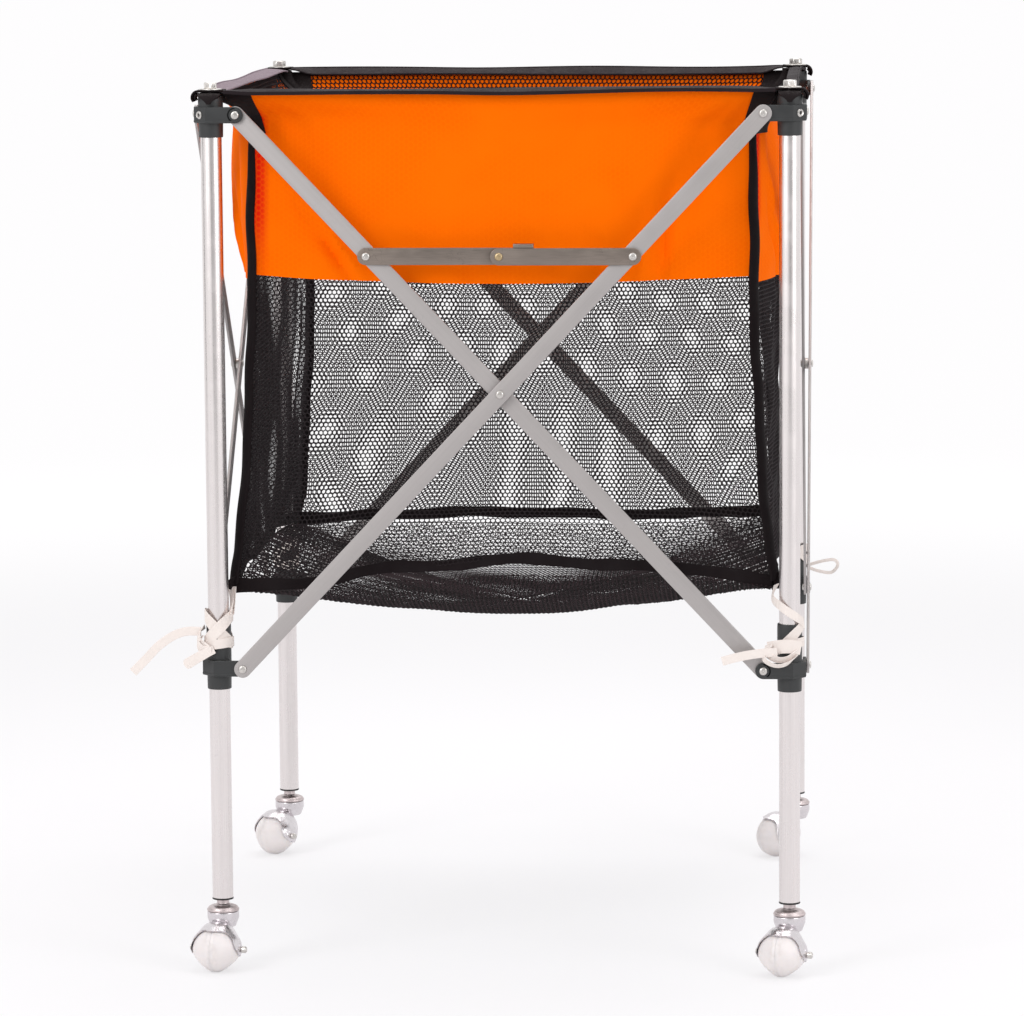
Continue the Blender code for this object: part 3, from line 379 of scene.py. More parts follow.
def strip(
    path: np.ndarray,
    normals: np.ndarray,
    half_width: np.ndarray | float,
    half_thickness: np.ndarray | float,
    cup: float = 0.0,
) -> Shell:
    """Flat band swept along a path.

    Args:
        path: points of its middle line, as rows.
        normals: the direction that its face looks in, one for all or one for each point.
        half_width: half its width, one number or one for each point.
        half_thickness: half its thickness, likewise.
        cup: how far its edges bend towards the normal, in metres.

    Returns:
        A closed skin with woven coordinates in metres, along it and across it.
    """
    tangent = unit(np.gradient(path, axis=0))
    across = unit(np.cross(tangent, normals))
    facing = unit(np.cross(across, tangent))
    widths = np.broadcast_to(half_width, len(path))[:, None, None]
    heights = np.broadcast_to(half_thickness, len(path))[:, None, None]
    section = np.array(STRIP_SECTION)
    side = section[None, :, 0, None] * widths
    lift = section[None, :, 1, None] * heights + cup * section[None, :, 0, None] ** 2
    points = path[:, None, :] + across[:, None, :] * side + facing[:, None, :] * lift
    along = np.concatenate([[0.0], np.cumsum(np.linalg.norm(np.diff(path, axis=0), axis=1))])
    count = len(section)
    woven = np.stack([np.repeat(along[:, None], count, axis=1), side[:, :, 0]], axis=-1)
    top = (len(path) - 1) * count
    sides = [(a, d, c, b) for a, b, c, d in ring_faces(len(path), count)]
    faces = [tuple(range(count)), *sides, tuple(reversed(range(top, top + count)))]
    return Shell(points.reshape(-1, 3), faces, woven.reshape(-1, 2))


def surface_normals(surface: Surface, x: np.ndarray, y: np.ndarray, step: float = 2e-4) -> np.ndarray:
    """Unit normals of a surface.

    Args:
        surface: gives points for arrays of places.
        x: the first coordinate of the places.
        y: their second coordinate.
        step: how far from each place the surface is felt.

    Returns:
        The normals as rows.
    """
    one = surface(x + step, y) - surface(x - step, y)
    other = surface(x, y + step) - surface(x, y - step)
    return unit(np.cross(one, other))


def cloth(surface: Surface, across: np.ndarray, down: np.ndarray, thickness: float) -> Shell:
    """Thin closed cloth over a surface.

    Args:
        surface: gives points for arrays of places across and down, in metres.
        across: the places of its columns.
        down: the places of its rows.
        thickness: the cloth's thickness, half on each side of the surface.

    Returns:
        A closed skin with the places as its woven coordinates.
    """
    x, y = (places.ravel() for places in np.meshgrid(across, down))
    middle = surface(x, y)
    lift = surface_normals(surface, x, y) * thickness / 2
    woven = np.column_stack([x, y])
    faces = sheet_faces(len(down), len(across))
    return Shell(np.vstack([middle + lift, middle - lift]), faces, np.vstack([woven, woven]))


class Maker:
    """Puts shells together as one mesh and gives it to the trolley."""

    smooth_below = radians(38)

    def mesh(self, name: str, shells: Sequence[Shell], finishes: Sequence["Finish"]) -> bpy.types.Mesh:
        """Mesh of several shells.

        Args:
            name: the mesh's name.
            shells: its skins.
            finishes: the finishes that the shells number.

        Returns:
            The mesh, smooth but for its sharp edges.
        """
        mesh = bpy.data.meshes.new(name)
        faces: Faces = []
        offset = 0
        for shell in shells:
            faces += [tuple(offset + i for i in face) for face in shell.faces]
            offset += len(shell.points)
        mesh.from_pydata(np.vstack([shell.points for shell in shells]).tolist(), [], faces)
        for finish in finishes:
            mesh.materials.append(finish.material())
        numbers = [shell.finish for shell in shells for _ in shell.faces]
        mesh.polygons.foreach_set("material_index", numbers)
        if any(shell.woven is not None for shell in shells):
            rows = [shell.points[:, :2] if shell.woven is None else shell.woven for shell in shells]
            self.weave(mesh, np.vstack(rows))
        clean = bmesh.new()
        clean.from_mesh(mesh)
        bmesh.ops.recalc_face_normals(clean, faces=clean.faces)
        clean.to_mesh(mesh)
        clean.free()
        mesh.shade_smooth()
        mesh.set_sharp_from_angle(angle=self.smooth_below)
        return mesh

    @staticmethod
    def weave(mesh: bpy.types.Mesh, woven: np.ndarray) -> None:
        """Stores woven coordinates as the mesh's map.

        Args:
            mesh: the mesh that gets them.
            woven: the coordinates of its points, as rows.
        """
        layer = mesh.uv_layers.new(name="weave")
        loops = np.empty(len(mesh.loops), int)
        mesh.loops.foreach_get("vertex_index", loops)
        layer.data.foreach_set("uv", woven[loops].astype(np.float32).ravel())

    def piece(
        self, name: str, mesh: bpy.types.Mesh, place: Matrix, body: str, slot: Slot | None, *stands_for: str
    ) -> bpy.types.Object:
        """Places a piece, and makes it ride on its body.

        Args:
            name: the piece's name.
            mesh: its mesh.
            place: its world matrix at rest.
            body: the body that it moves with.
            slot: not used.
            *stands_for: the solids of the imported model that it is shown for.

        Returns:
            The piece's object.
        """
        obj = bpy.data.objects.new(name, mesh)
        bpy.context.scene.collection.objects.link(obj)
        obj.matrix_world = place
        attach(obj, body)
        if stands_for:
            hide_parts(*stands_for)
        log.info("%s: %d points, rides on %s", name, len(mesh.vertices), body)
        return obj


# Finishes


class Wiring:
    """Adds and joins the nodes of one tree."""

    def __init__(self, tree: bpy.types.NodeTree) -> None:
        """Starts on a tree."""
        self.tree = tree

    def give(self, value: object, socket: Socket) -> None:
        """Links a socket to an input, or sets the input's own value.

        Args:
            value: the socket or value.
            socket: the input.
        """
        if isinstance(value, bpy.types.NodeSocket):
            self.tree.links.new(value, socket)
        else:
            socket.default_value = value

    def add(self, kind: str, inputs: dict | None = None, **settings: object) -> bpy.types.Node:
        """New node.

        Args:
            kind: its type, without the prefix that all shader nodes share.
            inputs: values or sockets for its inputs, by name or number.
            **settings: its own settings.

        Returns:
            The node.
        """
        node = self.tree.nodes.new(f"ShaderNode{kind}")
        for name, value in settings.items():
            setattr(node, name, value)
        for name, value in (inputs or {}).items():
            self.give(value, node.inputs[name])
        return node

    def math(self, operation: str, *values: object) -> Socket:
        """Result of a sum on numbers or sockets."""
        return self.add("Math", dict(enumerate(values)), operation=operation).outputs[0]

    def times(self, first: object, second: object) -> Socket:
        """Product of two numbers or sockets."""
        return self.math("MULTIPLY", first, second)

    def noise(self, places: Socket, scale: object, detail: float, **more: float) -> Socket:
        """Noise over places.

        Args:
            places: where it is felt.
            scale: its scale, a number or a socket.
            detail: its octaves.
            **more: further inputs by name.

        Returns:
            Its value.
        """
        return self.add("TexNoise", {"Vector": places, "Scale": scale, "Detail": detail, **more}).outputs[0]

    def span(
        self, value: object, low: float, high: float, to_low: float = 0.0, to_high: float = 1.0
    ) -> Socket:
        """Value moved smoothly from one span to another and held there.

        Args:
            value: the value.
            low: start of its span.
            high: end of its span.
            to_low: start of the new span.
            to_high: end of the new span.

        Returns:
            The moved value.
        """
        names = ("Value", "From Min", "From Max", "To Min", "To Max")
        node = self.add("MapRange", dict(zip(names, (value, low, high, to_low, to_high))), clamp=True)
        node.interpolation_type = "SMOOTHSTEP"
        return node.outputs["Result"]

    def mix(self, share: object, first: object, second: object) -> Socket:
        """Colour between two.

        Args:
            share: the second colour's share.
            first: one colour.
            second: the other.

        Returns:
            The mixed colour.
        """
        node = self.add("Mix", data_type="RGBA")
        for number, value in ((0, share), (6, first), (7, second)):
            self.give(value, node.inputs[number])
        return node.outputs[2]

    def group(self, tree: bpy.types.NodeTree, **inputs: object) -> bpy.types.bpy_prop_collection:
        """Outputs of a group node that uses a shared effect.

        Args:
            tree: the effect.
            **inputs: values or sockets for its inputs.

        Returns:
            The node's outputs.
        """
        node = self.tree.nodes.new("ShaderNodeGroup")
        node.node_tree = tree
        for name, value in inputs.items():
            self.give(value, node.inputs[name])
        return node.outputs


def effect(takes: str, gives: str) -> Callable:
    """Makes a shader effect that several finishes share, once, as a node group.

    Args:
        takes: names of its number inputs, parted by spaces; those with a star take vectors.
        gives: names of its number outputs, parted by spaces.

    Returns:
        A decorator for the function that adds the effect's nodes and returns its output sockets.
    """

    def decorator(fill: Callable[[Wiring, bpy.types.bpy_prop_collection], tuple[Socket, ...]]) -> Callable:
        """Wraps the function that adds the nodes.

        Args:
            fill: adds them and returns the output sockets.

        Returns:
            A function that gives the effect's node group.
        """

        def tree() -> bpy.types.NodeTree:
            """Makes the effect's node group once.

            Returns:
                The node group.
            """
            name = fill.__name__
            if name in bpy.data.node_groups:
                return bpy.data.node_groups[name]
            made = bpy.data.node_groups.new(name, "ShaderNodeTree")
            for label in takes.split():
                kind = "NodeSocketVector" if label.endswith("*") else "NodeSocketFloat"
                made.interface.new_socket(name=label.rstrip("*"), in_out="INPUT", socket_type=kind)
            for label in gives.split():
                made.interface.new_socket(name=label, in_out="OUTPUT", socket_type="NodeSocketFloat")
            wiring = Wiring(made)
            given, out = made.nodes.new("NodeGroupInput"), made.nodes.new("NodeGroupOutput")
            for label, value in zip(gives.split(), fill(wiring, given.outputs)):
                wiring.give(value, out.inputs[label])
            return made

        return tree

    return decorator


@effect("Vector* Stretch*", "Lines Clouds")
def drawn_grain(w: Wiring, given: bpy.types.bpy_prop_collection) -> tuple[Socket, ...]:
    """Fine drawn lines, stretched as asked, and the broad clouds between them."""
    scaled = w.add("VectorMath", {0: given["Vector"], 1: given["Stretch"]}, operation="MULTIPLY")
    return w.noise(scaled.outputs[0], 1.0, 4.0, Roughness=0.6), w.noise(given["Vector"], 14.0, 3.0)


@effect("Vector* Scale", "Scratches Smudges")
def scuffs(w: Wiring, given: bpy.types.bpy_prop_collection) -> tuple[Socket, ...]:
    """Thin scratches and soft smudges of handling.

    Args:
        w: the group's wiring.
        given: its inputs.

    Returns:
        Masks of the scratches and of the smudges.
    """
    bent = w.noise(given["Vector"], given["Scale"], 2.0, Distortion=2.5)
    thin = w.span(w.math("ABSOLUTE", w.math("SUBTRACT", bent, 0.5)), 0.0, 0.006, 1.0, 0.0)
    kept = w.span(w.noise(given["Vector"], given["Scale"], 1.0), 0.52, 0.6)
    return w.times(thin, kept), w.span(w.noise(given["Vector"], 34.0, 5.0), 0.42, 0.68)


@effect("Vector* Along Across Slant", "Height Thread")
def weave(w: Wiring, given: bpy.types.bpy_prop_collection) -> tuple[Socket, ...]:
    """Threads of a narrow weave over woven coordinates in metres, with counts per metre.

    Args:
        w: the group's wiring.
        given: its inputs.

    Returns:
        The relief with its fuzz, and the threads alone.
    """
    parts = w.add("SeparateXYZ", {0: given["Vector"]}).outputs
    along = w.math("ADD", w.times(parts[0], given["Along"]), w.times(parts[1], given["Slant"]))
    across = w.times(parts[1], given["Across"])
    crossed = w.times(w.math("SINE", w.times(along, 2 * pi)), w.math("SINE", w.times(across, 2 * pi)))
    height = w.math("MULTIPLY_ADD", crossed, 0.5, 0.5)
    return w.math("MULTIPLY_ADD", w.noise(given["Vector"], 900.0, 3.0), 0.5, height), height


@effect("Vector* Count", "Height")
def hexagons(w: Wiring, given: bpy.types.bpy_prop_collection) -> tuple[Socket, ...]:
    """Imprint of a hexagonal net over woven coordinates in metres.

    Args:
        w: the group's wiring.
        given: its inputs.

    Returns:
        The imprint's relief.
    """
    parts = w.add("SeparateXYZ", {0: given["Vector"]}).outputs
    total = None
    for angle in (0.0, 60.0, 120.0):
        place = w.math("ADD", w.times(parts[0], cos(radians(angle))), w.times(parts[1], sin(radians(angle))))
        wave = w.math("COSINE", w.times(w.times(place, given["Count"]), 2 * pi))
        total = wave if total is None else w.math("ADD", total, wave)
    return (w.span(total, -1.5, 0.6),)


@effect("Vector* Radius", "Mask")
def worn_edge(w: Wiring, given: bpy.types.bpy_prop_collection) -> tuple[Socket, ...]:
    """Mask of the outer edges, broken up by noise.

    Args:
        w: the group's wiring.
        given: its inputs.

    Returns:
        The mask.
    """
    bevel = w.add("Bevel", {"Radius": given["Radius"]}, samples=4).outputs[0]
    normal = w.add("NewGeometry").outputs["Normal"]
    agreement = w.add("VectorMath", {0: bevel, 1: normal}, operation="DOT_PRODUCT").outputs["Value"]
    edge = w.span(agreement, 0.86, 0.99, 1.0, 0.0)
    return (w.times(edge, w.span(w.noise(given["Vector"], 240.0, 3.0), 0.35, 0.6, 0.25, 1.0)),)


@effect("Vector*", "Mask")
def lint(w: Wiring, given: bpy.types.bpy_prop_collection) -> tuple[Socket, ...]:
    """Mask of dust that lies on faces that look up."""
    upward = w.add("SeparateXYZ", {0: w.add("NewGeometry").outputs["Normal"]}).outputs[2]
    return (w.times(w.span(upward, 0.2, 1.0), w.span(w.noise(given["Vector"], 420.0, 4.0), 0.45, 0.7)),)


@dataclass(frozen=True)
class Finish:
    """Base of every finish: a Principled surface whose colour, roughness and relief vary."""

    name: str
    colour: Colour
    roughness: float
    metallic: float = 0.0
    gloss: float = 0.5
    relief_share: float = 0.5
    relief_depth: float = 0.00005

    def material(self) -> bpy.types.Material:
        """The finish's material, made once.

        Returns:
            The material.
        """
        if self.name in bpy.data.materials:
            return bpy.data.materials[self.name]
        made = bpy.data.materials.new(self.name)
        made.use_nodes = True
        made.diffuse_color = self.colour
        w = Wiring(made.node_tree)
        inputs = made.node_tree.nodes["Principled BSDF"].inputs
        inputs["Metallic"].default_value = self.metallic
        inputs["Specular IOR Level"].default_value = self.gloss
        for name, value in self.constants().items():
            inputs[name].default_value = value
        colour, rough, height = self.dress(w)
        bump = w.add("Bump", {"Strength": self.relief_share, "Distance": self.relief_depth, "Height": height})
        for name, value in (("Base Color", colour), ("Roughness", rough), ("Normal", bump.outputs["Normal"])):
            w.give(value, inputs[name])
        return made

    def dress(self, w: Wiring) -> tuple[Socket, Socket, Socket]:
        """The finish's colour, roughness and relief."""
        raise NotImplementedError

    def constants(self) -> dict[str, object]:
        """Further values for the shader's own sockets."""
        return {}

    @staticmethod
    def solid_places(w: Wiring) -> Socket:
        """Places in the piece, shifted by a different amount for each piece.

        Args:
            w: the material's wiring.

        Returns:
            The places.
        """
        places = w.add("TexCoord").outputs["Object"]
        shift = w.times(w.add("ObjectInfo").outputs["Random"], 9.0)
        return w.add("VectorMath", {0: places, 1: shift}, operation="ADD").outputs[0]

    @staticmethod
    def own_axes(w: Wiring, places: Socket | None = None) -> bpy.types.bpy_prop_collection:
        """Coordinates of places apart, those in the piece unless others are given."""
        return w.add("SeparateXYZ", {0: places or w.add("TexCoord").outputs["Object"]}).outputs

    def varied(self, w: Wiring, value: Socket, less: float, more: float) -> Socket:
        """Roughness that follows a value, from below the finish's own to above it."""
        return w.span(value, 0.3, 0.7, self.roughness - less, self.roughness + more)

    def tint(self, share: float) -> Colour:
        """The finish's colour, made lighter or darker."""
        return (*[min(channel * share, 1.0) for channel in self.colour[:3]], 1.0)


@dataclass(frozen=True)
class DrawnMetal(Finish):
    """Drawn or brushed metal with grain along one axis, smudges and scratches."""

    stretch: Place = (1.0, 1.0, 1.0)
    contrast: float = 0.1
    scratches: float = 0.35
    stain: Colour = (0.2, 0.17, 0.15, 1.0)
    stained: float = 0.0

    def dress(self, w: Wiring) -> tuple[Socket, Socket, Socket]:
        """Grain, smudges and scratches.

        Args:
            w: the material's wiring.

        Returns:
            Colour, roughness and relief.
        """
        places = self.solid_places(w)
        grain = w.group(drawn_grain(), Vector=places, Stretch=self.stretch)
        worn = w.group(scuffs(), Vector=places, Scale=26.0)
        tone = w.span(grain["Lines"], 0.3, 0.7)
        colour = w.mix(tone, self.tint(1 - self.contrast), self.tint(1 + self.contrast))
        colour = w.mix(w.times(w.span(grain["Clouds"], 0.45, 0.7), self.stained), colour, self.stain)
        scratched = w.times(worn["Scratches"], self.scratches)
        rough = w.math("MULTIPLY_ADD", worn["Smudges"], 0.1, self.roughness)
        rough = w.math("MULTIPLY_ADD", w.math("SUBTRACT", tone, 0.5), 0.08, rough)
        height = w.math("SUBTRACT", grain["Lines"], w.times(scratched, 0.6))
        return w.mix(scratched, colour, self.tint(0.55)), rough, height


@dataclass(frozen=True)
class MouldedPlastic(Finish):
    """Matt moulded plastic with a fine grain, pale edges and dust."""

    relief_share: float = 0.35
    relief_depth: float = 0.00006
    edge_radius: float = 0.0006
    dust: float = 0.12
    dust_colour: Colour = linear(150, 146, 142)

    def dress(self, w: Wiring) -> tuple[Socket, Socket, Socket]:
        """Grain, worn edges and dust.

        Args:
            w: the material's wiring.

        Returns:
            Colour, roughness and relief.
        """
        places = self.solid_places(w)
        clouds = w.noise(places, 60.0, 4.0)
        edge = w.group(worn_edge(), Vector=places, Radius=self.edge_radius)["Mask"]
        dust = w.group(lint(), Vector=places)["Mask"]
        base = w.mix(clouds, self.tint(0.8), self.tint(1.25))
        base = w.mix(w.times(edge, 0.35), base, self.tint(3.2))
        base = w.mix(w.times(dust, self.dust), base, self.dust_colour)
        return base, self.varied(w, clouds, 0.06, 0.08), w.noise(places, 1400.0, 2.0)


@dataclass(frozen=True)
class PlatedMetal(Finish):
    """Plated metal, from dull zinc to mirror chrome, with smudges and pits."""

    relief_share: float = 0.4
    relief_depth: float = 0.00003
    mottle: float = 0.08
    tarnish: Colour = (0.3, 0.28, 0.27, 1.0)

    def dress(self, w: Wiring) -> tuple[Socket, Socket, Socket]:
        """Mottle, smudges and pits.

        Args:
            w: the material's wiring.

        Returns:
            Colour, roughness and relief.
        """
        places = self.solid_places(w)
        mottle = w.noise(places, 320.0, 4.0)
        worn = w.group(scuffs(), Vector=places, Scale=90.0)
        tone = w.span(mottle, 0.35, 0.7)
        colour = w.mix(tone, self.tint(1.0), self.tint(1 - self.mottle))
        rough = w.math("MULTIPLY_ADD", worn["Smudges"], 0.12, self.roughness)
        rough = w.math("MULTIPLY_ADD", tone, self.mottle, rough)
        return w.mix(w.times(worn["Scratches"], 0.25), colour, self.tarnish), rough, mottle


@dataclass(frozen=True)
class WheelNylon(Finish):
    """Pale, slightly clear nylon with a trace of dirt where it rolls."""

    relief_share: float = 0.2
    relief_depth: float = 0.00008
    rolling_radius: float = 0.025
    tread: float = 0.004
    dirt: Colour = linear(176, 166, 160)

    def dress(self, w: Wiring) -> tuple[Socket, Socket, Socket]:
        """Clouds and dirt.

        Args:
            w: the material's wiring.

        Returns:
            Colour, roughness and relief.
        """
        own = self.own_axes(w)
        square = w.math("ADD", w.math("POWER", own[1], 2.0), w.math("POWER", own[2], 2.0))
        tread = w.span(w.math("SQRT", square), self.rolling_radius - self.tread, self.rolling_radius)
        clouds = w.noise(self.solid_places(w), 120.0, 5.0)
        dirt = w.times(tread, w.span(clouds, 0.42, 0.7, 0.02, 0.22))
        base = w.mix(clouds, self.tint(0.97), self.tint(1.03))
        return w.mix(dirt, base, self.dirt), w.math("MULTIPLY_ADD", dirt, 0.3, self.roughness), clouds

    def constants(self) -> dict[str, object]:
        """A soft glow below the skin."""
        radius = (0.006, 0.005, 0.004)
        return {"Subsurface Weight": 0.18, "Subsurface Radius": radius, "Subsurface Scale": 1.0}


@dataclass(frozen=True)
class NetYarn(Finish):
    """Black knitted yarn with fine filaments, and painted highlight stripes along the net's ribs where asked.
    """

    gloss: float = 0.2
    relief_share: float = 0.6
    relief_depth: float = 0.0001
    rib_pitch: float = 0.0

    def dress(self, w: Wiring) -> tuple[Socket, Socket, Socket]:
        """Filaments, clouds and painted rib highlights.

        Args:
            w: the material's wiring.

        Returns:
            Colour, roughness and relief.
        """
        places = self.solid_places(w)
        filaments = w.noise(places, 2600.0, 2.0)
        base = w.mix(w.noise(places, 22.0, 3.0), self.tint(0.6), self.tint(1.5))
        if self.rib_pitch:
            # Painted highlight: lighter stripes at the rib pitch along the piece's X stand in for light on
            # the net's ribs.
            wave = w.math("COSINE", w.times(self.own_axes(w)[0], 2 * pi / self.rib_pitch))
            base = w.mix(w.span(wave, -0.2, 0.9), base, self.tint(4.5))
        return base, self.varied(w, filaments, 0.1, 0.1), filaments


@dataclass(frozen=True)
class WovenTape(Finish):
    """Narrow woven webbing or tape with visible threads, fuzz and lint."""

    gloss: float = 0.15
    relief_share: float = 0.8
    relief_depth: float = 0.00022
    along: float = 420.0
    across: float = 500.0
    slant: float = 0.0
    thread_contrast: float = 0.35
    lint: float = 0.1
    lint_colour: Colour = linear(170, 165, 160)

    def dress(self, w: Wiring) -> tuple[Socket, Socket, Socket]:
        """Threads, fuzz and lint.

        Args:
            w: the material's wiring.

        Returns:
            Colour, roughness and relief.
        """
        places = self.solid_places(w)
        woven = w.add("UVMap", uv_map="weave").outputs["UV"]
        threads = w.group(weave(), Vector=woven, Along=self.along, Across=self.across, Slant=self.slant)
        clouds = w.noise(places, 45.0, 4.0)
        low, high = self.tint(1 - self.thread_contrast), self.tint(1 + self.thread_contrast)
        base = w.mix(threads["Thread"], low, high)
        base = w.mix(w.times(clouds, 0.3), base, self.tint(0.8))
        base = w.mix(w.times(w.group(lint(), Vector=places)["Mask"], self.lint), base, self.lint_colour)
        return base, self.varied(w, clouds, 0.05, 0.08), threads["Height"]


@dataclass(frozen=True)
class BandCloth(Finish):
    """Orange laminated cloth with the imprint of the net behind it, a fine weave and a narrow strip of
    painted shade at its end by the corner binding.
    """

    gloss: float = 0.02
    relief_share: float = 0.35
    relief_depth: float = 0.00025
    deep: Colour = (0.88, 0.07, 0.0, 1.0)
    # Colour of the painted shade strip by the corner binding, and where it lies across and down.
    painted_shade_strip: Colour = (0.8, 0.008, 0.004, 1.0)
    painted_shade_edge: tuple[float, float] = (-0.2685, -0.2555)
    painted_shade_low: tuple[float, float] = (0.12, 0.19)
    net_count: float = 192.5
    threads: float = 900.0

    def dress(self, w: Wiring) -> tuple[Socket, Socket, Socket]:
        """Imprint, weave and the strip of painted shade.

        Args:
            w: the material's wiring.

        Returns:
            Colour, roughness and relief.
        """
        woven = w.add("UVMap", uv_map="weave").outputs["UV"]
        threads = w.group(weave(), Vector=woven, Along=self.threads, Across=self.threads, Slant=0.0)
        imprint = w.group(hexagons(), Vector=woven, Count=self.net_count)["Height"]
        clouds = w.noise(woven, 9.0, 5.0, Distortion=0.6)
        print_share = w.times(imprint, w.span(clouds, 0.4, 0.65, 0.15, 1.0))
        base = w.mix(w.times(print_share, 0.16), self.colour, self.deep)
        base = w.mix(w.times(clouds, 0.2), base, self.deep)
        x, y, _ = self.own_axes(w, woven)
        # Painted shade: a darker, redder strip at the band's end by the corner binding, textured by the
        # imprint.
        painted_shade_strip = w.times(w.span(x, *self.painted_shade_edge, 1.0, 0.0), w.span(y, *self.painted_shade_low, 1.0, 0.2))
        painted_shade_strip = w.times(painted_shade_strip, w.math("MULTIPLY_ADD", imprint, 0.3, 0.65))
        height = w.math("MULTIPLY_ADD", threads["Height"], 0.25, print_share)
        return w.mix(painted_shade_strip, base, self.painted_shade_strip), self.varied(w, clouds, 0.05, 0.06), height


TUBE_METAL = DrawnMetal(
    "satin_aluminium_tube", linear(228, 222, 221), 0.27, 1.0,
    relief_depth=0.000003, stretch=(420.0, 420.0, 5.0), contrast=0.03, scratches=0.2,
)
BRACE_METAL = DrawnMetal(
    "brushed_aluminium_bar", linear(177, 172, 171), 0.48, 0.75,
    relief_depth=0.00001, stretch=(7.0, 1500.0, 1500.0), contrast=0.035, scratches=0.2,
)
STAY_METAL = DrawnMetal(
    "worn_steel_bar", linear(141, 130, 122), 0.38, 0.9,
    stretch=(60.0, 900.0, 900.0), contrast=0.08, scratches=0.8, stained=0.45,
)
PLASTIC = MouldedPlastic("charcoal_moulded_plastic", linear(44, 45, 46), 0.48)
RIM_PLASTIC = MouldedPlastic("black_plug_plastic", linear(26, 24, 24), 0.38, dust=0.05)
ZINC = PlatedMetal("zinc_plated_steel", linear(210, 206, 202), 0.26, 1.0, mottle=0.12)
BRASSY = PlatedMetal("yellow_plated_rivet", linear(190, 168, 132), 0.28, 1.0, mottle=0.14)
CHROME = PlatedMetal("polished_chrome", linear(218, 213, 216), 0.21, 1.0, relief_depth=0.000003, mottle=0.05)
CAP_CHROME = PlatedMetal("dull_chrome_cap", linear(206, 194, 194), 0.33, 1.0, mottle=0.1)
NYLON = WheelNylon("pale_wheel_nylon", linear(236, 229, 229), 0.4)
NET = NetYarn("black_net_yarn", linear(25, 17, 20), 0.6)
# The floor yarn carries painted highlight stripes along its ribs.
FLOOR_NET = NetYarn("black_floor_yarn", linear(20, 13, 15), 0.7, rib_pitch=0.0046)
WEBBING = WovenTape("black_webbing", linear(29, 22, 23), 0.78, along=420.0, across=420.0, lint=0.05)
BINDING = WovenTape("black_binding", linear(22, 15, 17), 0.8, along=700.0, across=520.0, lint=0.02)
RIM_WEBBING = WovenTape("rim_webbing", linear(34, 26, 29), 0.72, along=380.0, across=640.0, lint=0.05)
# The rim webbing painted light grey where it looks lit, with some lint: a painted-light copy of the black rim
# webbing.
LIT_RIM_WEBBING = WovenTape(
    "painted_lit_rim_webbing", linear(132, 116, 125), 0.75, along=380.0, across=640.0, lint=0.25
)
TAPE = WovenTape(
    "pale_cotton_tape", linear(240, 230, 225), 0.85,
    relief_depth=0.00012, along=1100.0, across=900.0, slant=900.0, thread_contrast=0.04, lint=0.0,
)
BAND = BandCloth("orange_band_cloth", (0.98, 0.16, 0.0, 1.0), 0.68)


# Frame


@dataclass
class Rivet:
    """Domed rivet about Z."""

    head_radius: float = 0.0043
    head_height: float = 0.0017
    shank_radius: float = 0.0024
    washer_radius: float = 0.006
    dome: Profile = (
        (0.0, 0.7), (0.22, 0.7), (0.34, 0.97), (0.52, 1.0), (0.74, 0.86), (0.92, 0.52), (1.0, 0.16),
        (1.0, 0.0), (0.0, 0.0),
    )

    def head(self, level: float, up: bool = True) -> Shell:
        """Domed head with a dimple.

        Args:
            level: height of the face that it sits on.
            up: True where it looks up.

        Returns:
            Its skin in the second finish.
        """
        line = [(r * self.head_radius, z * self.head_height) for r, z in self.dome]
        place = shifted(0, 0, level) @ turned_about("X", 0 if up else 180)
        return turned(line, 32).placed(place).finished(1)

    def through(self, near: float, far: float, washer: tuple[float, float] | None = None) -> list[Shell]:
        """Rivet through two faces.

        Args:
            near: level of the lower face.
            far: level of the upper face.
            washer: lower and upper level of a washer on the shank, if it has one.

        Returns:
            Its skins.
        """
        shank = turned([(self.shank_radius, far), (self.shank_radius, near)], 24)
        shells = [self.head(far), self.head(near, up=False), shank.finished(1)]
        if washer is not None:
            low, high = washer
            inner, outer = self.shank_radius, self.washer_radius
            ring = rounded([(inner, high), (outer, high), (outer, low), (inner, low)], 0.0004)
            shells.append(turned(ring, 40).finished(1))
        return shells


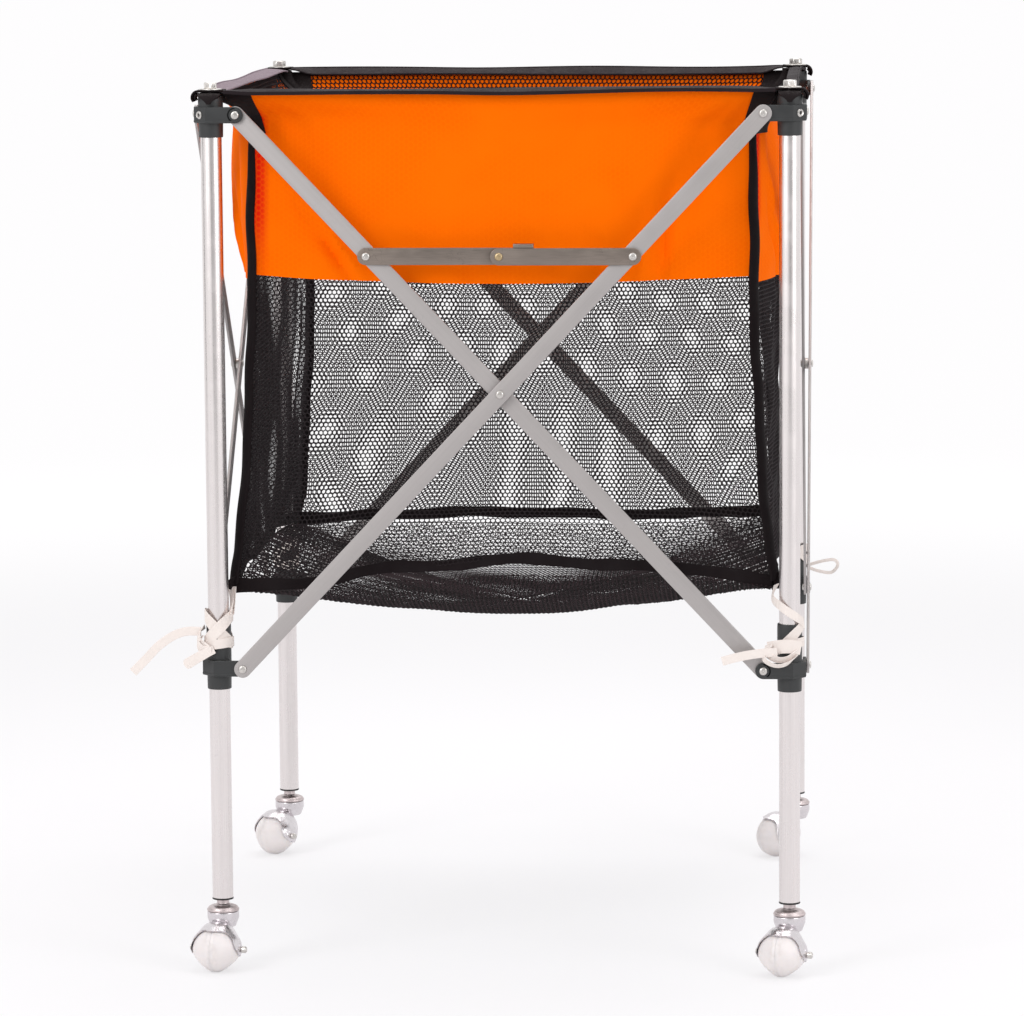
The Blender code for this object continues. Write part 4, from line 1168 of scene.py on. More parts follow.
@dataclass
class Bracket:
    """Moulded bracket: a sleeve on the leg, a band round its outer corner and two ears."""

    sleeve_low: float
    sleeve_high: float
    outer_ear_first: bool
    fixing_rivet: bool
    band_height: float = 0.0168
    band_chamfer: float = 0.013
    inner_end: float = 0.012
    inner_shoulder: float = 0.005
    bore: float = 0.0115
    taper: float = 0.0004
    edge: float = 0.0007
    lip: tuple[float, float] = (0.0012, 0.0026)
    fixing: Profile = (
        (0.0, -0.0004), (0.0016, -0.0002), (0.002, 0.0012), (0.0033, 0.0017), (0.0043, 0.0006),
        (0.0043, -0.0004),
    )
    rivet: Rivet = field(default_factory=Rivet)

    def sleeve(self) -> Shell:
        """Tapered sleeve, open at both ends.

        Returns:
            Its skin.
        """
        low, high, radius = self.sleeve_low, self.sleeve_high, SIZES.sleeve_radius
        line = [(self.bore, high - 0.001), (self.bore, high), (radius - 0.0002, high), (radius, high - 0.004)]
        line += [(radius, 0.0), (radius - self.taper, low), (self.bore, low), (self.bore, low + 0.001)]
        return turned(rounded(line, self.edge), 64, ring=True)

    def band(self) -> list[Shell]:
        """Band round the leg's outer corner.

        Returns:
            The band and its moulded lip.
        """
        ear_in, ear_out = SIZES.ear
        reach, inner = SIZES.ear_reach, self.inner_end
        edge = [(self.band_chamfer - ear_out, -ear_out), (reach, -ear_out), (reach, -ear_in)]
        edge += [(inner, -ear_in), (inner, -self.inner_shoulder)]
        plan = edge + [(y, x) for x, y in reversed(edge)]
        half = self.band_height / 2
        low, high = (level - half for level in self.lip)
        lip = slab(inset_outline(np.array(plan), -0.0004), low, high, 0.0003)
        return [slab(plan, -half, half, self.edge), lip]

    def shells(self) -> list[Shell]:
        """Skins of the bracket about its pivot height.

        Returns:
            Sleeve, band, ears and rivets.
        """
        ear_in, ear_out = SIZES.ear
        shells = [self.sleeve(), *self.band()]
        ear = slab(arc((0, 0), self.band_height / 2, 0, 354, 59), ear_in, ear_out, self.edge)
        boss = turned(rounded([(0, 0.0005), (0.0062, 0.0005), (0.0066, 0.0), (0, 0.0)], 0.0002), 40)
        for first, turn in ((True, Matrix()), (False, ACROSS)):
            outer = self.outer_ear_first == first
            near = ear_in if outer else SIZES.inner_brace[0] - SIZES.clearance
            far = SIZES.outer_brace[1] + SIZES.clearance if outer else ear_out + 0.0004
            place = turn @ facing_out(SIZES.ear_reach, 0, 0)
            shells += [ear.placed(place), boss.placed(turn @ facing_out(SIZES.ear_reach, ear_out, 0))]
            shells += placed_all(self.rivet.through(near, far), place)
        if self.fixing_rivet:
            face = (2 * ear_out - self.band_chamfer) / 2
            place = shifted(-face, -face, 0) @ turned_about("Z", -45) @ turned_about("X", 90)
            shells.append(turned(self.fixing, 36).placed(place).finished(1))
        return shells


@dataclass
class Bars(Maker):
    """Crossed flat braces of the four sides and the folding stay of the front."""

    width: float = 0.018
    bevel: float = 0.0005
    stay_rivet: tuple[float, float] = (0.1994, -0.0027)
    stay_span: float = 0.1386
    stay_height: float = 0.0177
    stay_overlap: float = 0.036
    stay_corner: float = 0.002
    stay_pivot: float = 0.7567
    lug_length: float = 0.021
    lug_height: float = 0.004
    rivet: Rivet = field(default_factory=Rivet)

    def bar(self, start: float, end: float, half: float, layer: tuple[float, float]) -> Shell:
        """Flat bar along X with round ends about its end pivots."""
        outline = arc((end, 0), half, -90, 90, 20) + arc((start, 0), half, 90, 270, 20)
        return slab(outline, *layer, self.bevel)

    def build(self) -> None:
        """Makes and places all bars."""
        half, gap = SIZES.brace_length / 2, SIZES.clearance
        inner, outer = SIZES.inner_brace, SIZES.outer_brace
        along, off = self.stay_rivet
        crossing = self.rivet.through(inner[0], outer[1] + gap, (inner[1], outer[0] - gap))
        left_joint = self.rivet.through(inner[0], SIZES.left_stay[1] + gap)
        right_joint = self.rivet.through(outer[0], SIZES.right_stay[1] + gap)
        kinds = (
            ("inner", inner, -1, crossing, placed_all(left_joint, shifted(-along, off, 0))),
            ("outer", outer, 1, [], placed_all(right_joint, shifted(along, off, 0))),
        )
        for side, side_name in enumerate(SIDES):
            for kind, layer, sign, rivets, joint in kinds:
                shells = [self.bar(-half, half, self.width / 2, layer), *rivets]
                shells += joint if side == 0 else []
                place = quarter(side) @ shifted(0, -SIZES.half_spacing, SIZES.crossing)
                place = place @ turned_about("X", 90) @ turned_about("Z", sign * (90 - SIZES.brace_lean))
                name, body = f"{side_name}_{kind}_bar", f"{side_name}_{kind}_brace"
                self.piece(name, self.mesh(name, shells, (BRACE_METAL, ZINC)), place, body, Slot.BRACE, body)
        self.stay("left", self.left_stay())
        self.stay("right", self.right_stay())

    def left_stay(self) -> list[Shell]:
        """Stay bar that carries the lug, about its outer pivot.

        Returns:
            Its skins.
        """
        half, corner = self.stay_height / 2, self.stay_corner
        end = self.stay_span + self.stay_overlap
        start = end - self.lug_length
        low, high = SIZES.left_stay
        lug_low = half + SIZES.clearance
        lug_high = lug_low + self.lug_height
        outline = arc((0, 0), half, 90, 270, 20) + arc((end - corner, corner - half), corner, -90, 0, 5)
        outline += arc((end - corner, half - corner), corner, 0, 90, 5)
        post = [(start, 0), (end, 0), (end, lug_high), (start, lug_high)]
        hook = [(start, lug_low), (end, lug_low), (end, lug_high), (start, lug_high)]
        tail = self.rivet.head(low, up=False).placed(shifted(self.stay_span, 0, 0))
        shells = [slab(outline, low, high, self.bevel), slab(post, low, high - 0.0001, 0.0006)]
        return [*shells, slab(hook, low, SIZES.right_stay[1], 0.0009), tail]

    def right_stay(self) -> list[Shell]:
        """Plain stay bar with the middle rivet, about its outer pivot.

        Returns:
            Its skins.
        """
        near, (low, high) = SIZES.left_stay[1] + SIZES.clearance, SIZES.right_stay
        joint = self.rivet.through(near, high, (near, low))
        bar = self.bar(-self.stay_span, 0, self.stay_height / 2, (low, high))
        return [bar, *placed_all(joint, shifted(-self.stay_span, 0, 0))]

    def stay(self, hand: str, shells: Sequence[Shell]) -> None:
        """Places one bar of the stay.

        Args:
            hand: left or right.
            shells: its skins.
        """
        reach = -self.stay_span if hand == "left" else self.stay_span
        place = quarter(0) @ shifted(reach, -SIZES.half_spacing, self.stay_pivot) @ turned_about("X", 90)
        name, body = f"{hand}_stay_link", f"{hand}_stay_bar"
        self.piece(name, self.mesh(name, shells, (STAY_METAL, BRASSY)), place, body, Slot.STAY, body)


@dataclass
class Legs(Maker):
    """Leg tubes with their pegs, brackets and sliders."""

    top_sleeve_below: float = 0.0234
    slider_above: float = 0.048
    slider_below: float = 0.0232
    strap_top: float = 0.9283
    washer_radius: float = 0.0118
    washer_thickness: float = 0.0014
    nut_radius: float = 0.0075
    nut_height: float = 0.0065
    nut_cut: float = 0.0011
    stud_radius: float = 0.004
    nut_turns: tuple[float, ...] = (8.0, 22.0, 40.0, 3.0)

    def tube(self) -> Shell:
        """Hollow tube with softly turned ends.

        Returns:
            Its skin.
        """
        outside, inside = SIZES.tube_radius, SIZES.tube_radius - SIZES.tube_wall
        top, bottom = SIZES.tube_top, SIZES.tube_bottom
        line = [(inside, top - 0.01), (inside, top), (outside, top), (outside, bottom), (inside, bottom)]
        return turned(rounded([*line, (inside, bottom + 0.01)], 0.0004), 64, ring=True)

    def nut(self, sides: int = 72) -> Shell:
        """Hexagon nut with chamfered corners, its seat at zero and a bore for the stud.

        Args:
            sides: points round it.

        Returns:
            Its skin.
        """
        angles = np.arange(sides) * 2 * pi / sides
        apothem = self.nut_radius * cos(pi / 6)
        flat = apothem / np.cos((angles + pi / 6) % (pi / 3) - pi / 6)
        high, cut, bore = self.nut_height, self.nut_cut, self.stud_radius
        levels = [(0.0, apothem * 0.98), (cut * 0.5, self.nut_radius), (high - cut, self.nut_radius)]
        levels += [(high - cut * 0.45, apothem * 1.06), (high, apothem * 0.94)]
        rings = [(np.minimum(flat, limit), z) for z, limit in levels]
        rings += [(bore + 0.0007, high), (bore, high - 0.0007), (bore, high - 0.003)]
        across, along = np.cos(angles), np.sin(angles)
        points = [np.column_stack([r * across, r * along, np.full(sides, z)]) for r, z in rings]
        return Shell(np.vstack(points), ring_faces(len(rings), sides))

    def peg(self, turn: float) -> list[Shell]:
        """Plug, washer, nut and stud end of a leg's top.

        Args:
            turn: how far the nut is turned, in degrees.

        Returns:
            Washer, stud with plug, and nut.
        """
        low = self.strap_top + SIZES.clearance
        high = low + self.washer_thickness
        bore, rim = self.stud_radius, self.washer_radius
        washer = rounded([(bore, high), (rim, high), (rim, low), (bore, low)], 0.0005)
        top = high + self.nut_height - 0.0008
        plug, plug_top, plug_low = SIZES.plug_radius, SIZES.tube_top, SIZES.tube_top - SIZES.plug_depth
        stud = [(0.0, top + 0.0004), (bore * 0.7, top + 0.0003), (bore * 0.98, top - 0.0006)]
        stud += [(bore * 0.98, plug_top), (plug, plug_top), (plug, plug_low), (0.0, plug_low)]
        nut = self.nut().placed(shifted(0, 0, high) @ turned_about("Z", turn))
        return [turned(washer, 48, ring=True), turned(stud, 32), nut]

    def build(self) -> None:
        """Makes and places the tubes, pegs and brackets."""
        tube = self.mesh("leg_tube", [self.tube()], (TUBE_METAL,))
        top_high = SIZES.tube_top - SIZES.top_pivot - SIZES.clearance
        top = Bracket(-self.top_sleeve_below, top_high, False, True).shells()
        slider = Bracket(-self.slider_below, self.slider_above, True, False).shells()
        top_mesh = self.mesh("top_bracket_body", top, (PLASTIC, ZINC))
        slider_mesh = self.mesh("slider_body", slider, (PLASTIC, ZINC))
        up, down = shifted(0, 0, SIZES.top_pivot), shifted(0, 0, SIZES.low_pivot)
        for turns, leg in enumerate(LEGS):
            place, body = leg_matrix(turns), f"{leg}_leg"
            peg = self.mesh(f"{leg}_top_nut", self.peg(self.nut_turns[turns]), (ZINC,))
            self.piece(f"{leg}_leg_tube", tube, place, body, Slot.TUBE, f"{leg}_tube")
            self.piece(f"{leg}_top_nut", peg, place, body, Slot.PEG, f"{leg}_peg")
            bracket, rides = f"{leg}_top_bracket", f"{leg}_slider"
            self.piece(f"{leg}_top_bracket_body", top_mesh, place @ up, body, Slot.PLASTIC, bracket)
            self.piece(f"{leg}_slider_body", slider_mesh, place @ down, rides, Slot.PLASTIC, rides)


@dataclass
class Casters(Maker):
    """Swivelling ball casters: plug and domed cap, chrome hood, axle and two-part wheel."""

    cap_bottom: float = 0.0613
    cap_radius: float = 0.017
    cap_rim: float = 0.0014
    cap_top: float = 0.0676
    neck_radius: float = 0.0065
    stem_radius: float = 0.004
    stem_reach: float = 0.0095
    rim_bottom: float = 0.0737
    housing_radius: float = 0.0168
    housing_top: float = 0.061
    housing_height: float = 0.0168
    wheel_gap: float = 0.0012
    wall: float = 0.0012
    lobe_height: float = 0.0036
    lobe_place: float = 0.0125
    lobe_width: float = 0.0058
    lobe_start: float = 58.0
    lobe_turn: float = 150.0
    lip_arch: Profile = (
        (0.0, 0.021), (0.008, 0.0208), (0.013, 0.019), (0.0175, 0.0155), (0.0215, 0.0105), (0.0242, 0.004),
        (0.0258, -0.0015), (0.028, -0.0045),
    )
    lip_roll: float = 0.0007
    back_angle: float = 20.0
    lip_drop: float = 0.006
    half_profile: Profile = (
        (0.0, 0.0252), (0.0035, 0.0249), (0.0078, 0.023), (0.0128, 0.0196), (0.018, 0.0154), (0.0228, 0.0102),
        (0.0251, 0.005),
    )
    hub: Profile = ((0.005, 0.025), (0.0046, 0.0243), (0.0034, 0.0243), (0.003, 0.0252), (0.0023, 0.0252))
    hood_cap: Profile = ((0.0, 0.0274), (0.0036, 0.0274), (0.0062, 0.0266), (0.0066, 0.0256), (0.0, 0.0256))

    def wheel_line(self, grown: float) -> np.ndarray:
        """Half the wheel's outside.

        Args:
            grown: how far outside the wheel it lies.

        Returns:
            Rows of place along the axle and radius.
        """
        line = np.column_stack(smooth_table(self.half_profile, 6))
        slope = unit(np.gradient(line, axis=0))
        line = line + np.column_stack([-slope[:, 1], slope[:, 0]]) * grown
        line[0, 0] = 0.0
        return line

    def half_wheel(self) -> Shell:
        """One half of the wheel about Z, with its moulded groove at the seam and a hub.

        Returns:
            Its skin.
        """
        outer = [(min(r, SIZES.axle_height - 0.00002), x) for x, r in self.wheel_line(0.0) if x > 0.0005]
        seam = [(outer[0][0] - 0.00015, 0.00005), (outer[0][0] - 0.00003, 0.0002)]
        profile = [*reversed(seam + outer), (self.hub[-1][0], seam[0][1])]
        return turned([*self.hub, *profile[1:]], 72)

    def hood(self, steps: int = 48) -> list[Shell]:
        """Two-lobed hood round the wheel, about its axle on X, the housing's side towards +Y.

        Args:
            steps: pieces round it.

        Returns:
            The hood and the axle's two end caps.
        """
        half_x, half_r = self.wheel_line(self.wheel_gap).T
        x = np.concatenate([-half_x[::-1], half_x[1:]])
        rows_out, rows_in = [], []
        back, lobe_start = radians(self.back_angle), radians(self.lobe_start)
        for place, radius in zip(x, np.concatenate([half_r[::-1], half_r[1:]])):
            lip = np.interp(abs(place), *zip(*self.lip_arch))
            start = asin(max(min(lip / radius, 0.95), -0.8))
            drop = asin(min(self.lip_drop * cos(back) / max(radius, 0.007), 0.9))
            turn = np.linspace(start, pi + back + drop, steps + 1)
            lobe = np.exp(-(((abs(place) - self.lobe_place) / self.lobe_width) ** 2)) * self.lobe_height
            over = np.sin((turn - lobe_start) / radians(self.lobe_turn) * pi)
            over = np.clip(over, 0, 1) * (turn > lobe_start)
            rolled = np.exp(-(((turn - start) / radians(4.5)) ** 2)) * self.lip_roll
            outer = radius + self.wall + lobe * over + rolled
            along = np.full(steps + 1, place)
            for rows, value in ((rows_out, outer), (rows_in, np.full(steps + 1, radius))):
                rows.append(np.column_stack([along, -value * np.cos(turn), value * np.sin(turn)]))
        hood = Shell(np.vstack([*rows_out, *rows_in]), sheet_faces(len(x), steps + 1))
        cap = turned(self.hood_cap, 36)
        return [hood, *(cap.placed(turned_about("Y", angle)) for angle in (-90, 90))]

    def housing(self) -> list[Shell]:
        """Swivel housing on the hood, about the swivel axis at floor level.

        Returns:
            The housing, and a thin black disc on it as painted shade in the gap under the cap.
        """
        top, low, r = self.housing_top, self.housing_top - self.housing_height, self.housing_radius
        body = rounded([(0.0, top), (r, top), (r, top - 0.0075), (r - 0.0035, low), (0.0, low)], 0.0012, 4)
        # Painted shade: a thin black disc on the housing's top stands in for the shade in the gap under the
        # cap.
        dark, dark_top = self.cap_radius - 0.0016, top + 0.00015
        shade = [(0.0, dark_top), (dark, dark_top), (dark, top), (0, top)]
        return [turned(body, 64), turned(shade, 48).finished(1)]

    def stem(self) -> list[Shell]:
        """Plug in the tube, its black rim, the neck and the domed cap.

        Returns:
            The plug with its rim, and the cap on its stem.
        """
        tube_rim = SIZES.tube_radius + 0.0003
        rim_top, rim_low = SIZES.tube_bottom - SIZES.clearance, self.rim_bottom
        plug, plug_top = SIZES.plug_radius, SIZES.tube_bottom + SIZES.plug_depth
        plug_line = [(0.0, plug_top), (plug, plug_top), (plug, rim_top), (tube_rim, rim_top)]
        plug_line += [(tube_rim, rim_low), (0.0, rim_low)]
        rim, low = self.cap_bottom + self.cap_rim, self.cap_bottom
        neck, radius, top, stem = self.neck_radius, self.cap_radius, self.cap_top, self.stem_radius
        dome = [(0.0, rim_low + 0.0002), (neck, rim_low + 0.0002), (neck, top + 0.0014)]
        dome += [(neck + 0.0012, top + 0.0004), (neck + 0.0018, top - 0.0004)]
        wide, tall = radius - 0.0009 - neck, top - rim - 0.001
        for turn in (0.45, 0.75, 1.0, 1.2, 1.38):
            dome.append((neck + wide * sin(turn), rim + 0.0006 + tall * cos(turn) ** 0.8))
        dome += [(radius - 0.0007, rim + 0.0006), (radius, rim + 0.0003), (radius, low + 0.0004)]
        end = low - self.stem_reach
        dome += [(radius - 0.0005, low), (stem, low), (stem, end), (0.0, end)]
        return [turned(rounded(plug_line, 0.0003), 56), turned(rounded(dome, 0.0003), 64).finished(1)]

    def axle(self) -> Shell:
        """Axle pin with a slotted knob at its right end, about the wheel's middle on Z.

        Returns:
            Its skin.
        """
        seat = self.hub[0][1] + self.wheel_gap + self.wall + SIZES.clearance
        pin = self.hub[-1][0] - 0.0001
        right = [(0.0, 0.005), (0.0009, 0.005), (0.0012, 0.0056), (0.0026, 0.0056), (0.0036, 0.0046)]
        right += [(0.0036, 0.0012), (0.003, 0.0), (pin, 0.0)]
        left = [(pin, 0.0), (0.0033, 0.0), (0.0033, -0.0006), (pin, -0.0014), (0.0, -0.0014)]
        line = [(r, seat + z) for r, z in right] + [(r, z - seat) for r, z in left]
        return turned(rounded(line, 0.0002, 2), 36)

    def build(self) -> None:
        """Makes and places the four casters."""
        half, along_x = self.half_wheel(), turned_about("Y", 90)
        halves = [half.placed(along_x), half.placed(along_x @ turned_about("X", 180))]
        wheel = self.mesh("wheel", halves, (NYLON,))
        to_axle = shifted(0, -SIZES.caster_trail, SIZES.axle_height)
        shells = placed_all(self.hood(), to_axle) + self.housing()
        hood = self.mesh("chrome_hood", shells, (CHROME, RIM_PLASTIC))
        stem = self.mesh("plug_and_cap", self.stem(), (RIM_PLASTIC, CAP_CHROME))
        axle = self.mesh("axle_pin", [self.axle().placed(along_x)], (ZINC,))
        for turns, leg in enumerate(LEGS):
            place, body = leg_matrix(turns), f"{leg}_caster"
            swivel = Matrix.Translation(place.translation) @ turned_about("Z", -CASTER_TURNS[turns])
            at_axle = swivel @ to_axle
            self.piece(f"{leg}_plug_and_cap", stem, place, f"{leg}_leg", Slot.CASTER, f"{leg}_caster_stem")
            self.piece(f"{leg}_chrome_hood", hood, swivel, body, Slot.CASTER, f"{leg}_caster_hood")
            self.piece(f"{leg}_axle_pin", axle, at_axle, body, Slot.PEG, f"{leg}_caster_axle")
            self.piece(f"{leg}_wheel_halves", wheel, at_axle, f"{leg}_wheel", Slot.WHEEL, f"{leg}_ball_wheel")


# Bag


@dataclass(frozen=True)
class SideShape:
    """How one side of the bag hangs; rises are over nine places, from its own leg to the next."""

    hem_rises: tuple[float, ...]
    rim_rises: tuple[float, ...]
    upper_inset: float
    lower_inset: float
    sag: float
    curve: float
    strap_roll: float
    strap_share: float
    seed: int
    low_curve: float = 3.0
    slack: tuple[float, float] = (0.0, 0.0)


SIDE_SHAPES = (
    SideShape(
        (-0.006, -0.0037, 0.0125, 0.0168, 0.0238, 0.022, 0.0178, 0.0125, -0.001),
        (0.0, 0.0, 0.0, -0.0002, -0.0008, 0.0004, 0.0014, 0.0016, 0.0006),
        0.011, 0.012, 0.0083, 3.0, -8.0, 1.0, 11, slack=(0.0, 0.0035),
    ),
    SideShape(
        (-0.001, 0.004, 0.008, 0.0105, 0.011, 0.0095, 0.006, 0.003, 0.0),
        (0.0, 0.0004, 0.0, -0.0004, -0.0002, 0.0004, 0.0006, 0.0002, 0.0),
        0.0085, 0.018, 0.004, 3.0, 4.0, 0.62, 23, slack=(0.011, 0.005),
    ),
    SideShape(
        (0.0, -0.0035, -0.0058, -0.0066, -0.0045, -0.004, -0.006, -0.009, -0.012),
        (-0.0032, -0.0044, -0.0044, -0.0038, -0.0036, -0.0036, -0.003, -0.0028, -0.0029),
        0.012, 0.013, 0.004, 3.0, 17.0, 1.0, 37,
    ),
    SideShape(
        (-0.012, -0.002, 0.005, 0.0095, 0.011, 0.009, 0.005, -0.001, -0.006),
        (0.0, 0.0004, 0.0002, -0.0004, -0.0004, 0.0002, 0.0006, 0.0002, 0.0),
        0.0035, 0.016, 0.004, 5.0, 5.0, 1.0, 53, low_curve=2.0, slack=(0.004, 0.0065),
    ),
)


@dataclass
class BagShape:
    """Shape of the bag that its net, band, bindings and floor share, in the frame of each side's leg."""

    drop: float = SIZES.bag_drop
    rim_end: float = 0.0145
    rim_inset: float = 0.002
    waist: Profile = (
        (0.0, 0.0385), (0.15, 0.0386), (0.2, 0.0381), (0.265, 0.0366), (0.34, 0.033), (0.405, 0.0287),
        (0.455, 0.0243), (0.504, 0.0196), (0.516, 0.017),
    )
    corner_shifts: tuple[float, ...] = (-0.0022, 0.0, 0.0, 0.0)
    creases: tuple[tuple[float, ...], ...] = (
        (-0.212, 0.152, 47.0, 0.052, 0.0065, 0.0085), (-0.194, 0.15, 52.0, 0.045, 0.0065, -0.0065),
        (-0.234, 0.115, 62.0, 0.042, 0.007, -0.006), (-0.165, 0.16, 35.0, 0.045, 0.008, 0.006),
        (0.196, 0.15, 100.0, 0.045, 0.0075, 0.0075), (0.174, 0.156, 104.0, 0.04, 0.008, -0.006),
        (0.234, 0.1, 112.0, 0.042, 0.007, 0.0055), (0.12, 0.165, 60.0, 0.035, 0.009, 0.0042),
        (-0.06, 0.17, 20.0, 0.06, 0.01, 0.003), (0.235, 0.3, 108.0, 0.08, 0.01, 0.003),
        (-0.23, 0.33, 74.0, 0.08, 0.01, 0.003),
    )
    corner_depths: tuple[float, ...] = (0.028, 0.04, 0.04, 0.04)
    sheet_depths: tuple[tuple[float, float], ...] = ((0.04, 0.04), (0.04, 0.04), (0.04, 0.04), (0.04, 0.016))
    wave_count: int = 7
    wave_size: float = 0.0013
    pull_size: float = 0.0042
    pull_place: float = 0.27
    pull_reach: float = 0.17
    foot_inset: float = 0.013
    seam_gap: float = 0.0004
    floor_sag: float = 0.0565
    floor_roundness: float = 4.0
    floor_spread: float = 1.9
    gather_pitch: float = 0.017
    rib_pitch: float = 0.0052
    rib_size: float = 0.0013
    floor_wave: float = 0.002
    band_depth: float = 0.19

    def corner(self, turns: int, depth: np.ndarray) -> tuple[np.ndarray, np.ndarray]:
        """How far inside the legs' square a corner's sides lie.

        Args:
            turns: the corner's number.
            depth: depths below the rim.

        Returns:
            The insets along the corner's own side and across it.
        """
        waist = np.interp(depth, *smooth_table(self.waist, 8))
        waist = waist + self.corner_shifts[turns] * eased(depth / 0.15)
        drawn = eased(depth / self.corner_depths[turns])
        return between(self.rim_end, waist, drawn), between(self.rim_inset, waist, drawn)

    @staticmethod
    def rise(values: tuple[float, ...], u: np.ndarray) -> np.ndarray:
        """Smooth rise between nine places along a side."""
        return np.interp(u, *smooth_table([(i / 4 - 1, value) for i, value in enumerate(values)], 8))

    def folds(self, side: int, u: np.ndarray, depth: np.ndarray) -> np.ndarray:
        """Soft folds of a side: waves, pulls from its upper corners and creases.

        Args:
            side: the side's number.
            u: places along it, from -1 at its leg to 1 at the next.
            depth: depths below the rim.

        Returns:
            How far inward the cloth lies, in metres.
        """
        seed = SIDE_SHAPES[side].seed
        rng = np.random.default_rng(seed)
        x = u * SIZES.half_spacing
        total = np.zeros_like(u)
        for _ in range(self.wave_count):
            angle = rng.uniform(-1.2, 1.2)
            length = rng.uniform(0.07, 0.22)
            size = rng.uniform(0.3, 1.0) * self.wave_size
            phase = rng.uniform(0, 2 * pi)
            total += size * np.sin(2 * pi * (x * cos(angle) + depth * sin(angle)) / length + phase)
        for sign in (-1, 1):
            beside, below = x - sign * self.pull_place, depth + 0.01
            turn, reach = np.arctan2(below, -sign * beside), np.hypot(beside, below)
            total += self.pull_size * np.sin(turn * 9 + seed) * np.exp(-reach / self.pull_reach)
        fade = eased(depth / 0.03) * (1 - u**8)
        total = total * fade * (0.6 + 0.9 * depth / self.drop)
        for place, low, angle, length, width, size in self.creases:
            towards = cos(radians(angle)), sin(radians(angle))
            along = (x - place) * towards[0] + (depth - low) * towards[1]
            across = (depth - low) * towards[0] - (x - place) * towards[1]
            total += size * np.exp(-((across / width) ** 2) - (along / length) ** 2) * fade
        return total

    def side(self, side: int, u: np.ndarray, depth: np.ndarray, outward: float = 0.0) -> np.ndarray:
        """Points of a side.

        Args:
            side: the side's number.
            u: places along it, from -1 at its leg to 1 at the next.
            depth: depths below the rim.
            outward: how far outside the net's surface the points lie.

        Returns:
            Points in the frame of the side's leg.
        """
        shape = SIDE_SHAPES[side]
        ends = np.array(self.corner(side, depth)), np.array(self.corner((side + 1) % 4, depth))
        along, corner = np.where(u < 0, *ends)
        share = depth / self.drop
        belly = between(shape.upper_inset, shape.lower_inset, eased((share - 0.25) / 0.4))
        near, far = self.sheet_depths[side]
        drawn = eased(depth / between(near, far, eased((u - 0.3) / 0.6)))
        middle = between(self.rim_inset, belly, drawn)
        if far < near:
            corner = np.where(u < 0, corner, between(self.rim_inset, along, drawn))
        curve = between(shape.curve, shape.low_curve, eased((depth - 0.05) / 0.14))
        inset = between(middle, corner, np.abs(u) ** curve) + self.folds(side, u, depth)
        rise = self.rise(shape.hem_rises, u) * share**3 + self.rise(shape.rim_rises, u) * (1 - share)
        slack = between(*shape.slack, (u + 1) / 2)
        rise = rise - (shape.sag * (1 - u**2) + slack) * 4 * share * (1 - share)
        x = SIZES.half_spacing + u * (SIZES.half_spacing - along - self.seam_gap)
        return np.column_stack([x, inset - outward, SIZES.rim_height - depth + rise])

    def floor(self, side: int, x: np.ndarray, y: np.ndarray) -> np.ndarray:
        """Points of the floor's quarter behind a side.

        Args:
            side: the side's number.
            x: places along the side, in the frame of its leg.
            y: places inward from it.

        Returns:
            Points in the frame of the side's leg.
        """
        shape, reach = SIDE_SHAPES[side], SIZES.half_spacing
        share = np.clip((y - shape.lower_inset) / (reach - shape.lower_inset), 0, 1)
        u = np.clip((x - reach) / np.maximum((reach - self.foot_inset) * (1 - share), 1e-4), -1, 1)
        level = SIZES.rim_height - self.drop
        hem = level + self.rise(shape.hem_rises, u)
        steep, slow = self.floor_roundness, self.floor_spread
        if side % 2:
            steep, slow = slow, steep
        wide, deep = np.abs(x / reach - 1), np.abs(y / reach - 1)
        sunk = np.clip(1 - wide**slow, 0, 1) * np.clip(1 - deep**steep, 0, 1)
        gathers = np.sin(2 * pi * x / self.gather_pitch + 2 * np.sin(x * 31)) * self.rib_size
        gathers = gathers * (1 - u**6) * np.exp(-share / 0.16) * eased(share / 0.03)
        ribs = self.rib_size * np.cos(2 * pi * (x - reach) / self.rib_pitch)
        ribs = ribs * np.exp(-share / 0.35) * eased(share / 0.01)
        waves = self.floor_wave * np.sin(x * 41 + y * 17) * np.sin(y * 37 - x * 9) * (1 - u**4) * share
        return np.column_stack([x, y, between(hem, level - self.floor_sag, sunk) + gathers + ribs + waves])


